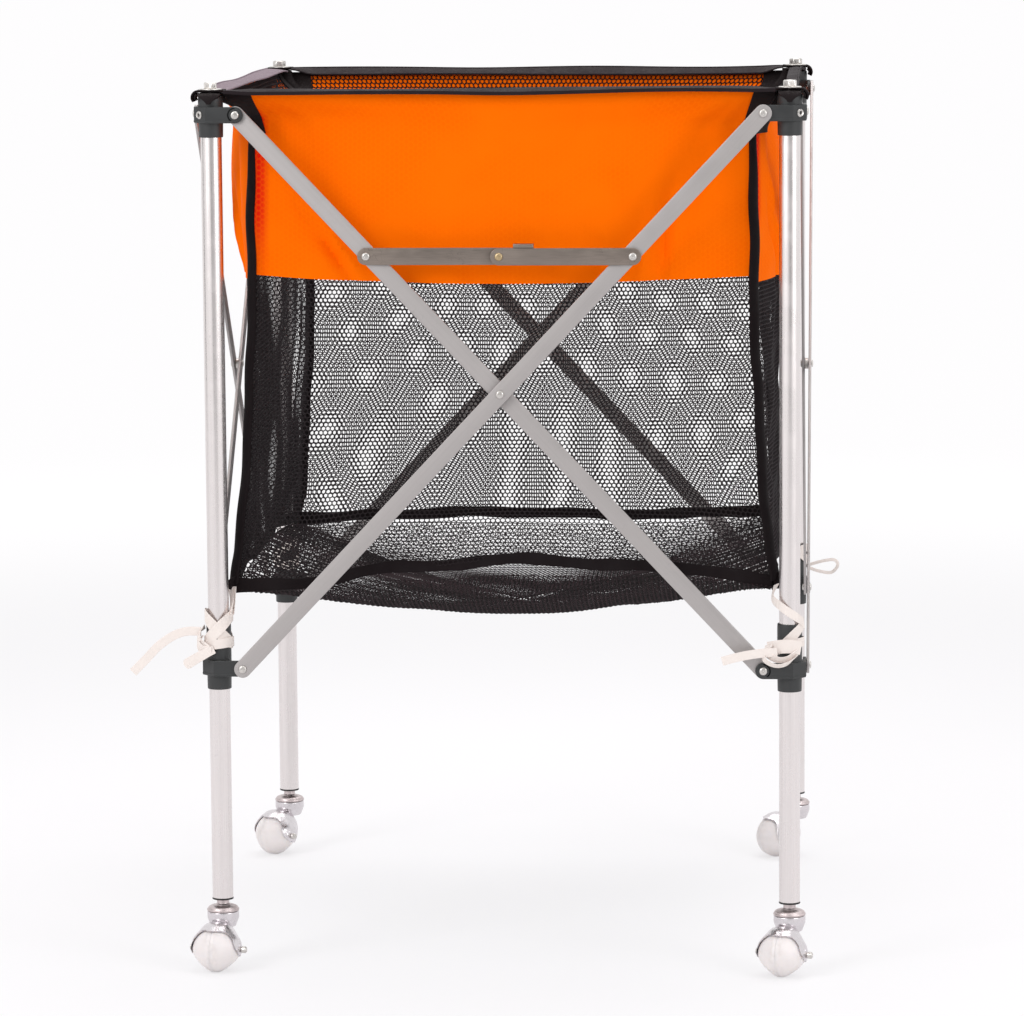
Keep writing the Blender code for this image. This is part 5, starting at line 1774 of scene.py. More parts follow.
@dataclass
class Bag(Maker):
    """Mesh bag: net, orange band, bindings, patches and rim straps of each side, and its floor."""

    shape: BagShape = field(default_factory=BagShape)
    pitch: float = 0.0052
    strand: float = 0.00125
    yarn: float = 0.001
    jitter: float = 0.00013
    net_width: float = 0.556
    net_edge: float = 0.002
    band_lap: float = 0.004
    band_gap: float = 0.0014
    band_thickness: float = 0.0007
    strap_half_width: float = 0.012
    strap_half_thickness: float = 0.0011
    strap_height: float = 0.9273
    strap_ease: float = 0.028
    strap_wave: float = 0.0012
    strap_lift: float = 0.0003
    strap_twist: float = 4.0
    strap_cup: float = -0.0004
    fold_half_width: float = 0.0019
    fold_half_thickness: float = 0.0009
    fold_place: float = 0.93
    fold_drop: float = 0.0004
    hem_rise: float = 0.0045
    hem_half_width: float = 0.0062
    hem_half_thickness: float = 0.0015
    hem_ripple: float = 0.0014
    hem_wave: float = 0.0012
    hem_cup: float = 0.0008
    binding_top: float = 0.034
    binding_end: float = 0.007
    binding_out: float = 0.0016
    binding_foot: float = 0.0138
    binding_half_thickness: float = 0.0016
    fold_anchor: float = 0.026
    patch_reaches: Points = (
        (0.0415, 0.0525, 0.0), (0.0365, 0.05, 0.034), (0.036, 0.043, 0.0), (0.036, 0.043, 0.0),
    )
    patch_offsets: tuple[float, float] = (0.0026, -0.0014)
    patch_span: tuple[float, float] = (-0.0017, 0.042)
    patch_depth: float = 0.04
    patch_thickness: float = 0.0009
    patch_seam: float = 0.18
    end_curl: Profile = (
        (0.004, 0.0), (-0.01, 0.0), (-0.0142, -0.0008), (-0.0168, -0.0034), (-0.0177, -0.007),
        (-0.0164, -0.0102),
    )
    foot_loop: Points = (
        (0.004, -0.001, 0.005), (-0.0015, -0.003, 0.0015), (-0.0028, -0.003, -0.0015),
        (0.0005, -0.001, -0.003), (0.0045, 0.002, -0.001), (0.004, 0.003, 0.005),
    )

    @property
    def row(self) -> float:
        """Distance between the net's rows."""
        return self.pitch * cos(pi / 6)

    @property
    def yarn_share(self) -> float:
        """Share of the net's area that is yarn."""
        return 1 - (1 - self.strand / self.pitch) ** 2

    def cells(self, keep: Surface, reach: float) -> tuple[np.ndarray, np.ndarray, np.ndarray]:
        """Hexagon cells of the flat net whose middles are kept.

        Args:
            keep: tells which middles stay.
            reach: how far the lattice goes on each side of zero.

        Returns:
            Places of the shared corners, the six corners of each cell, and each cell's middle.
        """
        rows = np.arange(-int(reach / self.row) - 1, int(reach / self.row) + 2)
        columns = np.arange(-int(reach / self.pitch) - 1, int(reach / self.pitch) + 2)
        i, j = (places.ravel() for places in np.meshgrid(columns, rows))
        middle = np.column_stack([(i + 0.5 * (j % 2)) * self.pitch, j * self.row])
        kept = keep(middle[:, 0], middle[:, 1])
        i, j, middle = i[kept], j[kept], middle[kept]
        steps = np.array([(1, 1), (0, 2), (-1, 1), (-1, -1), (0, -2), (1, -1)])
        grid = np.stack([2 * i + j % 2, 3 * j], axis=1)[:, None, :] + steps[None, :, :]
        keys, corners = np.unique(grid.reshape(-1, 2), axis=0, return_inverse=True)
        places = keys * np.array([self.pitch / 2, self.pitch / (2 * 3**0.5)])
        return places, corners.reshape(-1, 6), middle

    def net(self, name: str, surface: Surface, keep: Surface, reach: float, finish: Finish) -> bpy.types.Mesh:
        """Knitted net of hexagon holes on a surface.

        Args:
            name: the mesh's name.
            surface: gives points for flat places.
            keep: tells which cells are made.
            reach: how far the lattice goes.
            finish: its yarn.

        Returns:
            The net's mesh.
        """
        places, corners, middle = self.cells(keep, reach)
        rng = np.random.default_rng(SEED + len(name))
        places = places + rng.normal(0, self.jitter, places.shape)
        centre = surface(places[:, 0], places[:, 1])
        normal = surface_normals(surface, places[:, 0], places[:, 1]) * self.yarn / 2
        shrink = 1 - self.strand / self.pitch
        holes = middle[:, None, :] + (places[corners] - middle[:, None, :]) * shrink
        holes = surface(holes[..., 0].ravel(), holes[..., 1].ravel())
        points = np.vstack([centre + normal, centre - normal, holes])
        count = len(places)
        hole = 2 * count + np.arange(corners.size).reshape(-1, 6)
        after = np.roll(corners, -1, axis=1)
        hole_after = np.roll(hole, -1, axis=1)
        upper = np.stack([corners, after, hole_after, hole], axis=-1).reshape(-1, 4)
        lower = np.stack([after + count, corners + count, hole, hole_after], axis=-1).reshape(-1, 4)
        start, end = corners.ravel(), after.ravel()
        border = ~np.isin(start * count + end, end * count + start)
        start, end = start[border], end[border]
        rim = np.stack([end, start, start + count, end + count], axis=-1)
        return self.quads(name, points, np.vstack([upper, lower, rim]), finish)

    @staticmethod
    def quads(name: str, points: np.ndarray, faces: np.ndarray, finish: Finish) -> bpy.types.Mesh:
        """Smooth mesh of many quads, made at once.

        Args:
            name: the mesh's name.
            points: its points, as rows.
            faces: four point numbers for each quad, as rows.
            finish: its one finish.

        Returns:
            The mesh.
        """
        mesh = bpy.data.meshes.new(name)
        mesh.vertices.add(len(points))
        mesh.vertices.foreach_set("co", points.astype(np.float32).ravel())
        mesh.loops.add(faces.size)
        mesh.loops.foreach_set("vertex_index", faces.astype(np.int32).ravel())
        mesh.polygons.add(len(faces))
        mesh.polygons.foreach_set("loop_start", np.arange(0, faces.size, 4, dtype=np.int32))
        mesh.update(calc_edges=True)
        mesh.validate()
        mesh.shade_smooth()
        mesh.materials.append(finish.material())
        return mesh

    def squash(self, piece: bpy.types.Object, side: int, anchor: float) -> None:
        """Gives a soft piece its own copy of its mesh.

        Args:
            piece: the soft piece.
            side: not used.
            anchor: not used.
        """
        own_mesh(piece)

    def build(self) -> None:
        """Makes and places every piece of the bag."""
        for side in range(4):
            self.build_side(side)
            self.build_floor(side)
        for turns in range(4):
            tab = f"{LEGS[turns]}_corner_tab"
            self.build_corner(turns, "rim_crossing", self.crossing(turns), WEBBING, tab)
            self.build_corner(turns, "corner_patch", self.patches(turns), WEBBING)
            self.build_corner(turns, "corner_binding", self.binding(turns), BINDING)

    def build_side(self, side: int) -> None:
        """Makes and places the net, band, rim strap and hem of a side.

        Args:
            side: the side's number.
        """
        name, leg, place = SIDES[side], f"{LEGS[side]}_leg", leg_matrix(side)
        shape, drop, half = self.shape, self.shape.drop, self.net_width / 2
        split = shape.band_depth - self.band_lap

        def net_surface(x: np.ndarray, depth: np.ndarray) -> np.ndarray:
            """Points of the net for flat places across and down."""
            return shape.side(side, np.clip(x / half, -1, 1), np.clip(depth, 0, drop))

        def band_surface(x: np.ndarray, depth: np.ndarray) -> np.ndarray:
            """Points of the band for places across and down."""
            return shape.side(side, np.clip(x / half, -1, 1), depth, self.band_gap)

        def upper(x: np.ndarray, y: np.ndarray) -> np.ndarray:
            """Cells behind the band."""
            return (np.abs(x) < half) & (y > self.net_edge) & (y <= split)

        def lower(x: np.ndarray, y: np.ndarray) -> np.ndarray:
            """Cells below the band."""
            return (np.abs(x) < half) & (y > split) & (y < drop - self.net_edge)

        netting, panel = [], f"{name}_mesh_panel"
        kinds = (("net_behind_band", upper, split, ()), ("net", lower, drop - split, (panel,)))
        for label, keep, height, stands in kinds:
            mesh = self.net(f"{name}_{label}", net_surface, keep, drop, NET)
            netting.append((self.piece(f"{name}_{label}", mesh, place, leg, Slot.BAG, *stands), height))
        across, down = np.linspace(-half, half, 121), np.linspace(0.001, shape.band_depth, 49)
        mesh = self.mesh(f"{name}_band", [cloth(band_surface, across, down, self.band_thickness)], (BAND,))
        band = self.piece(f"{name}_band", mesh, place, leg, None)
        strap, hem = self.build_strap(side), self.build_hem(side)
        for piece, height in netting:
            self.squash(piece, side, self.fold_anchor)
        self.squash(band, side, self.fold_anchor)

    def build_strap(self, side: int) -> bpy.types.Object:
        """Makes and places the webbing along the rim, from peg to peg.

        Args:
            side: the side's number.

        Returns:
            The strap.
        """
        rng = np.random.default_rng(SEED + side)
        hang, half = SIDE_SHAPES[side], self.strap_half_thickness
        share = np.linspace(0, 1, 90)
        x = self.shape.rim_end + share * 2 * (SIZES.half_spacing - self.shape.rim_end)
        swell = np.sin(share * pi)
        away = eased(np.minimum(share, 1 - share) * 2 * SIZES.half_spacing / self.strap_ease)
        phase = rng.uniform(0, 2 * pi, 3)
        wave = np.sin(share * 9 + phase[0]) * 0.5 + np.sin(share * 17 + phase[1]) * 0.3
        y = self.strap_wave * swell * wave
        z = self.strap_height + self.shape.rise(hang.rim_rises, share * 2 - 1) * away
        z = z + self.strap_lift * swell * wave
        if side % 2:
            z = z - 2 * half * (1 - away)
        twist = radians(self.strap_twist) * swell * np.sin(share * 11 + phase[2])
        roll = radians(hang.strap_roll) * away + twist
        normals = np.column_stack([np.zeros(len(x)), np.sin(roll), np.cos(roll)])
        width = self.strap_half_width * (1 - (1.06 - hang.strap_share) * away)
        out, up = width * np.cos(roll) * self.fold_place, width * np.sin(roll) * self.fold_place
        edge = np.column_stack([x, y - out, z + up - self.fold_drop])
        shells = [strip(np.column_stack([x, y, z]), normals, width, half, self.strap_cup)]
        shells.append(strip(edge, (0.0, -1.0, 0.0), self.fold_half_width, self.fold_half_thickness))
        name = f"{SIDES[side]}_rim_strap"
        # The left side's strap takes the painted-light grey copy of the rim webbing.
        mesh = self.mesh(name, shells, (LIT_RIM_WEBBING if side == 3 else RIM_WEBBING,))
        piece = self.piece(name, mesh, leg_matrix(side), f"{LEGS[side]}_leg", Slot.WEBBING)
        self.squash(piece, side, self.shape.rim_end)
        return piece

    def build_hem(self, side: int) -> bpy.types.Object:
        """Makes and places the folded binding along the lower edge of a side.

        Args:
            side: the side's number.

        Returns:
            The hem.
        """
        rng = np.random.default_rng(SEED + 40 + side)
        u = np.linspace(-1, 1, 120)
        path = self.shape.side(side, u, np.full(len(u), self.shape.drop - self.hem_rise))
        phase = rng.uniform(0, 2 * pi, 4)
        x, free = u * SIZES.half_spacing, 1 - u**6
        ripple = np.sin(x * 62 + phase[0]) * 0.5 + np.sin(x * 131 + phase[1]) * 0.35
        ripple = ripple + np.sin(x * 23 + phase[2]) * 0.5
        path[:, 1] += ripple * self.hem_ripple * free
        path[:, 2] += np.sin(x * 47 + phase[3]) * self.hem_wave * free
        tip = 0.35 * ripple * free
        normals = np.column_stack([np.zeros(len(u)), -np.cos(tip), np.sin(tip)])
        width = self.hem_half_width + 0.0005 * np.sin(x * 83 + phase[1])
        width = width + 0.0024 * np.exp((np.abs(u) - 1) / 0.07)
        name = f"{SIDES[side]}_hem"
        shell = strip(path, normals, width, self.hem_half_thickness, self.hem_cup)
        mesh = self.mesh(name, [shell], (BINDING,))
        piece = self.piece(name, mesh, leg_matrix(side), f"{LEGS[side]}_leg", Slot.WEBBING)
        self.squash(piece, side, self.fold_anchor)
        return piece

    def build_floor(self, side: int) -> None:
        """Makes and places a quarter of the net floor, cut from the one flat net that all four share.

        Args:
            side: the side's number.
        """
        shape, half = self.shape, SIZES.half_spacing
        turn = np.array(Matrix.Rotation(-side * pi / 2, 2)).T

        def own(x: np.ndarray, y: np.ndarray) -> np.ndarray:
            """Places of the whole floor in the frame of the side's leg, as two rows."""
            return (np.column_stack([x, y]) @ turn + half).T

        def keep(x: np.ndarray, y: np.ndarray) -> np.ndarray:
            """Finds the cells nearest to this side.

            Args:
                x: places of their middles in the whole floor.
                y: the same in its other direction.

            Returns:
                True for each that stays.
            """
            along, inward = own(x, y)
            other = 2 * half - along
            nearest = (inward < along) & (inward <= other) & (inward > SIDE_SHAPES[side].lower_inset)
            return nearest & (along > shape.foot_inset) & (other > shape.foot_inset)

        def surface(x: np.ndarray, y: np.ndarray) -> np.ndarray:
            """Points of the floor for places of the whole floor."""
            return shape.floor(side, *own(x, y))

        name, gore = f"{SIDES[side]}_floor_net", f"{SIDES[side]}_floor_gore"
        mesh = self.net(name, surface, keep, half, FLOOR_NET)
        piece = self.piece(name, mesh, leg_matrix(side), gore, Slot.BAG, gore)
        self.squash(piece, side, self.fold_anchor)

    def build_corner(
        self, turns: int, kind: str, shells: Sequence[Shell], finish: Finish, *stands_for: str
    ) -> None:
        """Makes and places a piece of one corner.

        Args:
            turns: the corner's number.
            kind: the piece's name after the leg's.
            shells: its skins.
            finish: its finish.
            stands_for: the solid that it shows.
        """
        name = f"{LEGS[turns]}_{kind}"
        mesh = self.mesh(name, shells, (finish,))
        self.piece(name, mesh, leg_matrix(turns), f"{LEGS[turns]}_leg", Slot.WEBBING, *stands_for)

    def crossing(self, turns: int) -> list[Shell]:
        """Two strap ends crossed on a leg's top, their outer ends curled down.

        Args:
            turns: the corner's number.

        Returns:
            Their skins.
        """
        half = self.strap_half_thickness
        shells = []
        for upper in (True, False):
            level = self.strap_height - (0 if upper else 2 * half)
            line = [(self.shape.rim_end + 0.0003, 0.0), *self.end_curl]
            path = smooth_line([(x, 0.0, level + z) for x, z in line], 6)
            slope = unit(np.gradient(path, axis=0))
            normals = np.column_stack([slope[:, 2], np.zeros(len(path)), -slope[:, 0]])
            travel = np.linspace(0, 1, len(path))
            taper, cup = (0.45, 0.0012) if upper else (0.78, -0.0004)
            width = self.strap_half_width * (1 - taper * eased((travel - 0.5) / 0.5))
            end = len(path) // 2
            under = strip((path - normals * 2 * half)[end:], normals[end:], width[end:] * 0.94, half)
            pair = [strip(path, normals, width, half, cup), under]
            shells += pair if upper == (turns % 2 == 0) else placed_all(pair, ACROSS)
        return shells

    def corner_surface(self, turns: int, offset: float) -> Surface:
        """Surface round a corner of the bag.

        Args:
            turns: the corner's number.
            offset: how far outside the net it lies.

        Returns:
            What gives points for places from -1 on the corner's own side to 1 on the side before.
        """
        shape, seam = self.shape, self.patch_seam
        top_reach, low_reach, own_extra = self.patch_reaches[turns]

        def surface(s: np.ndarray, depth: np.ndarray) -> np.ndarray:
            """Finds the points of the surface.

            Args:
                s: places across.
                depth: places down.

            Returns:
                The points in the frame of the corner's leg.
            """
            along, _ = shape.corner(turns, depth)
            wide = between(top_reach, low_reach, depth / self.patch_depth) + own_extra * (s < 0)
            place = between(along, wide, np.clip((np.abs(s) - seam) / (1 - seam), 0, 1)) + shape.seam_gap
            half = SIZES.half_spacing - along - shape.seam_gap
            own = shape.side(turns, (place - SIZES.half_spacing) / half, depth, offset)
            other = shape.side((turns - 1) % 4, (SIZES.half_spacing - place) / half, depth, offset)
            other = np.column_stack([other[:, 1], 2 * SIZES.half_spacing - other[:, 0], other[:, 2]])
            middle = along - offset * 0.4
            column = np.column_stack([middle, middle, SIZES.rim_height - depth])
            return between(column, np.where((s < 0)[:, None], own, other), eased(np.abs(s) / seam)[:, None])

        return surface

    def patches(self, turns: int) -> list[Shell]:
        """Black reinforcing patches of a corner.

        Args:
            turns: the corner's number.

        Returns:
            The outer and the inner patch.
        """
        across, down = np.linspace(-1, 1, 45), np.linspace(*self.patch_span, 19)
        shells = []
        for offset in self.patch_offsets:
            shell = cloth(self.corner_surface(turns, offset), across, down, self.patch_thickness)
            shell.woven = shell.woven * np.array([0.06, 1.0])
            shells.append(shell)
        return shells

    def binding(self, turns: int) -> list[Shell]:
        """Binding down a corner, and the gathered loop at its foot.

        Args:
            turns: the corner's number.

        Returns:
            Their skins.
        """
        out, thickness = self.binding_out, self.binding_half_thickness
        depth = np.linspace(self.binding_top, self.shape.drop - self.binding_end, 90)
        along, across = self.shape.corner(turns, depth)
        level = SIZES.rim_height - depth + SIDE_SHAPES[turns].hem_rises[0] * depth / self.shape.drop
        wobble = 0.0008 * np.sin(depth * 37 + turns * 2) + 0.0005 * np.sin(depth * 83 + turns)
        path = np.column_stack([along - out + wobble, across - out - wobble, level])
        path[-6:, :2] += (self.binding_foot - path[-6:, :2]) * np.linspace(0.1, 0.9, 6)[:, None]
        width = 0.0044 + 0.0018 * eased((depth - 0.045) / 0.07)
        loop = smooth_line([path[-1] + step for step in self.foot_loop], 6)
        band = strip(path, (-1.0, -1.0, 0.0), width, thickness, -thickness)
        return [band, strip(loop, (-1.0, 1.0, 0.0), 0.004, 0.0009)]


# Ties


@dataclass
class Ties(Maker):
    """Pale flat tapes that tie the bag's feet to the legs, with two long loose ends."""

    half_width: float = 0.00475
    half_thickness: float = 0.0004
    strand_width: float = 0.0034
    foot_rise: float = 0.006
    left_route: Points = (
        (-0.308866, -0.292, 0.3614), (-0.324, -0.2925, 0.3614), (-0.338, -0.2935, 0.3569),
        (-0.354, -0.2945, 0.3459), (-0.3675, -0.295, 0.3319), (-0.3815, -0.295, 0.3179),
    )
    right_route: Points = (
        (0.2964, -0.311766, 0.3449), (0.281, -0.311766, 0.3439), (0.267, -0.311766, 0.3419),
        (0.253, -0.311766, 0.3389), (0.239, -0.311766, 0.3351),
    )

    def wrap(self, level: float, tilt: float, turn: float, radius: float, width: float = 0.00475) -> Shell:
        """Tape all round a leg.

        Args:
            level: height of its middle.
            tilt: how far it rises and falls, in metres.
            turn: the angle at which it is highest, in degrees.
            radius: radius of its middle line.
            width: half the tape's width.

        Returns:
            The tape's skin in the leg's frame.
        """
        angle = np.linspace(0, 2 * pi, 61) + radians(turn + 150)
        height = level + tilt * np.cos(angle - radians(turn))
        path = np.column_stack([radius * np.cos(angle), radius * np.sin(angle), height])
        normals = np.column_stack([np.cos(angle), np.sin(angle), np.zeros(len(angle))])
        return strip(path, normals, width, self.half_thickness)

    def run(self, points: Points, facing: Points, width: np.ndarray | float) -> Shell:
        """Tape through points.

        Args:
            points: the points that it passes.
            facing: the direction that its face looks in at each of them.
            width: half its width, one number or one for each place.

        Returns:
            The tape's skin.
        """
        return strip(smooth_line(points, 7), smooth_line(facing, 7), width, self.half_thickness)

    def foot(self, turns: int) -> np.ndarray:
        """Foot of the bag's corner.

        Args:
            turns: the corner's number.

        Returns:
            The place in its leg's frame.
        """
        shape = BagShape()
        level = SIZES.rim_height - shape.drop + SIDE_SHAPES[turns].hem_rises[0] + self.foot_rise
        return np.array((shape.foot_inset, shape.foot_inset, level))

    def build(self) -> None:
        """Makes and places the ties and their loose ends."""
        makers = (self.front_left, self.front_right, self.rear_right, self.rear_left)
        for turns, (leg, shells) in enumerate(zip(LEGS, makers)):
            mesh = self.mesh(f"{leg}_tie_wrap", shells(), (TAPE,))
            self.piece(f"{leg}_tie_wrap", mesh, leg_matrix(turns), f"{leg}_leg", Slot.TAPE, f"{leg}_tie")
        self.tail("front_left", self.left_route)
        self.tail("front_right", self.right_route)

    def tail(self, leg: str, route: Points) -> None:
        """Makes and places the loose end of a tape.

        Args:
            leg: the leg that it hangs from.
            route: the points that it passes, from its root.
        """
        path = smooth_line(route, 12)
        side = unit(np.cross(unit(np.gradient(path, axis=0)), (0.0, 0.0, 1.0)))
        name = f"{leg}_tape_tail"
        mesh = self.mesh(name, [strip(path, side, self.half_width, self.half_thickness)], (TAPE,))
        piece = self.piece(name, mesh, Matrix(), f"{leg}_leg", Slot.TAPE, f"{leg}_tie_end")

    def straps(self, turns: int, start: Points) -> list[Shell]:
        """Two strands from the wrap up to the bag's foot.

        Args:
            turns: the leg's number.
            start: where each strand starts.

        Returns:
            Their skins.
        """
        foot = self.foot(turns)
        facing = [(-1.0, -0.6, 0.2), (-0.9, -0.8, 0.1), (-0.7, -1.0, 0.0)]
        shells = []
        for shift, point in zip((-0.0022, 0.0022), start):
            middle = (np.array(point) + foot) / 2 + (0.001, 0.001, -0.002)
            end = foot + (shift, -shift, -0.002)
            shells.append(self.run([point, middle, end], facing, self.strand_width))
        return shells

    def front_left(self) -> list[Shell]:
        """Crossed wrap with a knot on its outer side and a short rounded end.

        Returns:
            Its skins.
        """
        knot = [(-0.0145, -0.002, 0.366), (-0.0192, -0.006, 0.3605), (-0.0195, -0.011, 0.352)]
        knot += [(-0.01, -0.018, 0.344)]
        knot_out = [(-1.0, 0.1, 0.2), (-1.0, -0.3, 0.1), (-0.9, -0.6, 0.0), (-0.3, -1.0, 0.0)]
        loop = [(-0.016, -0.007, 0.357), (-0.0205, -0.011, 0.35), (-0.016, -0.0165, 0.344)]
        loop += [(-0.006, -0.019, 0.3425)]
        loop_out = [(-0.9, -0.3, 0.4), (-1.0, -0.5, 0.0), (-0.5, -0.9, 0.0), (-0.2, -1.0, 0.0)]
        tip = [(-0.003, -0.0172, 0.344), (-0.012, -0.0192, 0.34), (-0.021, -0.0188, 0.335)]
        tip += [(-0.03, -0.0178, 0.3295), (-0.0345, -0.0176, 0.3268)]
        tip_out = [(0.1, -1.0, 0.2), (0.0, -1.0, 0.1), (0.0, -1.0, 0.0), (0.1, -1.0, 0.1), (0.1, -1.0, 0.1)]
        shares, widths = (0, 0.3, 0.8, 0.93, 1), (0.0044, 0.0052, 0.0058, 0.0046, 0.002)
        return [
            self.wrap(0.364, 0.015, 180.0, 0.0143, width=0.0062),
            self.wrap(0.3638, 0.015, 0.0, 0.015, width=0.0062),
            self.wrap(0.348, 0.0024, 330.0, 0.0156, width=0.0052),
            self.run(knot, knot_out, 0.005),
            self.run(loop, loop_out, 0.0046),
            self.run(tip, tip_out, np.interp(np.linspace(0, 1, 29), shares, widths)),
            *self.straps(0, [(0.0128, -0.0085, 0.379), (0.0152, -0.001, 0.378)]),
        ]

    def front_right(self) -> list[Shell]:
        """Strap round the leg's front, a slanting wrap and a loose bow; this leg's -X looks to the front.

        Returns:
            Their skins.
        """
        strand = [self.foot(1) + (-0.001, 0.001, -0.003), (0.0005, 0.0178, 0.3985), (-0.0108, 0.01, 0.3915)]
        strand += [(-0.0134, -0.0025, 0.383), (-0.0085, -0.0124, 0.3755), (0.004, -0.015, 0.369)]
        strand_out = [(-0.7, 0.7, 0.0), (-0.4, 1.0, 0.0), (-0.9, 0.6, 0.1)]
        strand_out += [(-1.0, -0.2, 0.1), (-0.5, -0.9, 0.0), (0.3, -1.0, 0.0)]
        bow = [(-0.016, 0.0225, 0.347), (-0.0195, 0.011, 0.3495), (-0.02, -0.001, 0.35)]
        bow += [(-0.017, -0.012, 0.348)]
        bow_out = [(-1.0, 0.5, 0.1), (-1.0, 0.2, 0.2), (-1.0, 0.0, 0.1), (-0.9, -0.5, 0.0)]
        fold = [(-0.0165, -0.009, 0.344), (-0.0235, 0.002, 0.3375), (-0.025, 0.013, 0.337)]
        fold += [(-0.0235, 0.0225, 0.343), (-0.0175, 0.0215, 0.351)]
        fold_out = [(-0.8, -0.4, -0.5), (-0.9, 0.0, -0.6), (-0.9, 0.2, -0.5), (-0.8, 0.6, 0.1)]
        fold_out += [(-0.7, 0.4, 0.7)]
        cup = [(-0.0185, -0.008, 0.34), (-0.0262, 0.002, 0.333), (-0.0276, 0.014, 0.3308)]
        cup += [(-0.0262, 0.0255, 0.3365), (-0.0205, 0.0275, 0.3455)]
        cup_out = [(-0.5, 0.0, -0.9), (-0.6, 0.0, -0.8), (-0.6, 0.2, -0.7), (-0.6, 0.8, -0.2)]
        cup_out += [(-0.4, 0.8, 0.4)]
        return [
            self.wrap(0.3575, 0.0145, 275.0, 0.0143, width=0.0052),
            self.wrap(0.35, 0.003, 250.0, 0.015, width=0.005),
            self.run(strand, strand_out, 0.0044),
            self.run(bow, bow_out, 0.0072),
            self.run(fold, fold_out, 0.0042),
            self.run(cup, cup_out, 0.0036),
        ]

    def rear_right(self) -> list[Shell]:
        """Plain wrap with a small loop that stands off the leg.

        Returns:
            Its skins.
        """
        loop = [(-0.0135, 0.001, 0.345), (-0.03, 0.003, 0.35), (-0.045, 0.002, 0.3518)]
        loop += [(-0.0495, 0.0005, 0.345), (-0.042, -0.001, 0.3365), (-0.028, 0.0, 0.338)]
        loop += [(-0.015, 0.001, 0.3425)]
        loop_out = [(0.0, 1.0, 0.4)] * 3 + [(-0.2, 1.0, 0.1)] + [(0.0, 1.0, 0.3)] * 3
        return [
            self.wrap(0.358, 0.012, 40.0, 0.0143),
            self.wrap(0.356, 0.011, 150.0, 0.0149),
            self.run(loop, loop_out, 0.0019),
            *self.straps(2, [(0.012, 0.0085, 0.372), (0.008, 0.0125, 0.37)]),
        ]

    def rear_left(self) -> list[Shell]:
        """Plain crossed wrap.

        Returns:
            Its skins.
        """
        return [
            self.wrap(0.359, 0.012, 60.0, 0.0143),
            self.wrap(0.356, 0.012, 180.0, 0.0149),
            self.wrap(0.348, 0.003, 250.0, 0.0147),
            *self.straps(3, [(0.012, 0.0085, 0.372), (0.008, 0.0125, 0.37)]),
        ]


# Studio


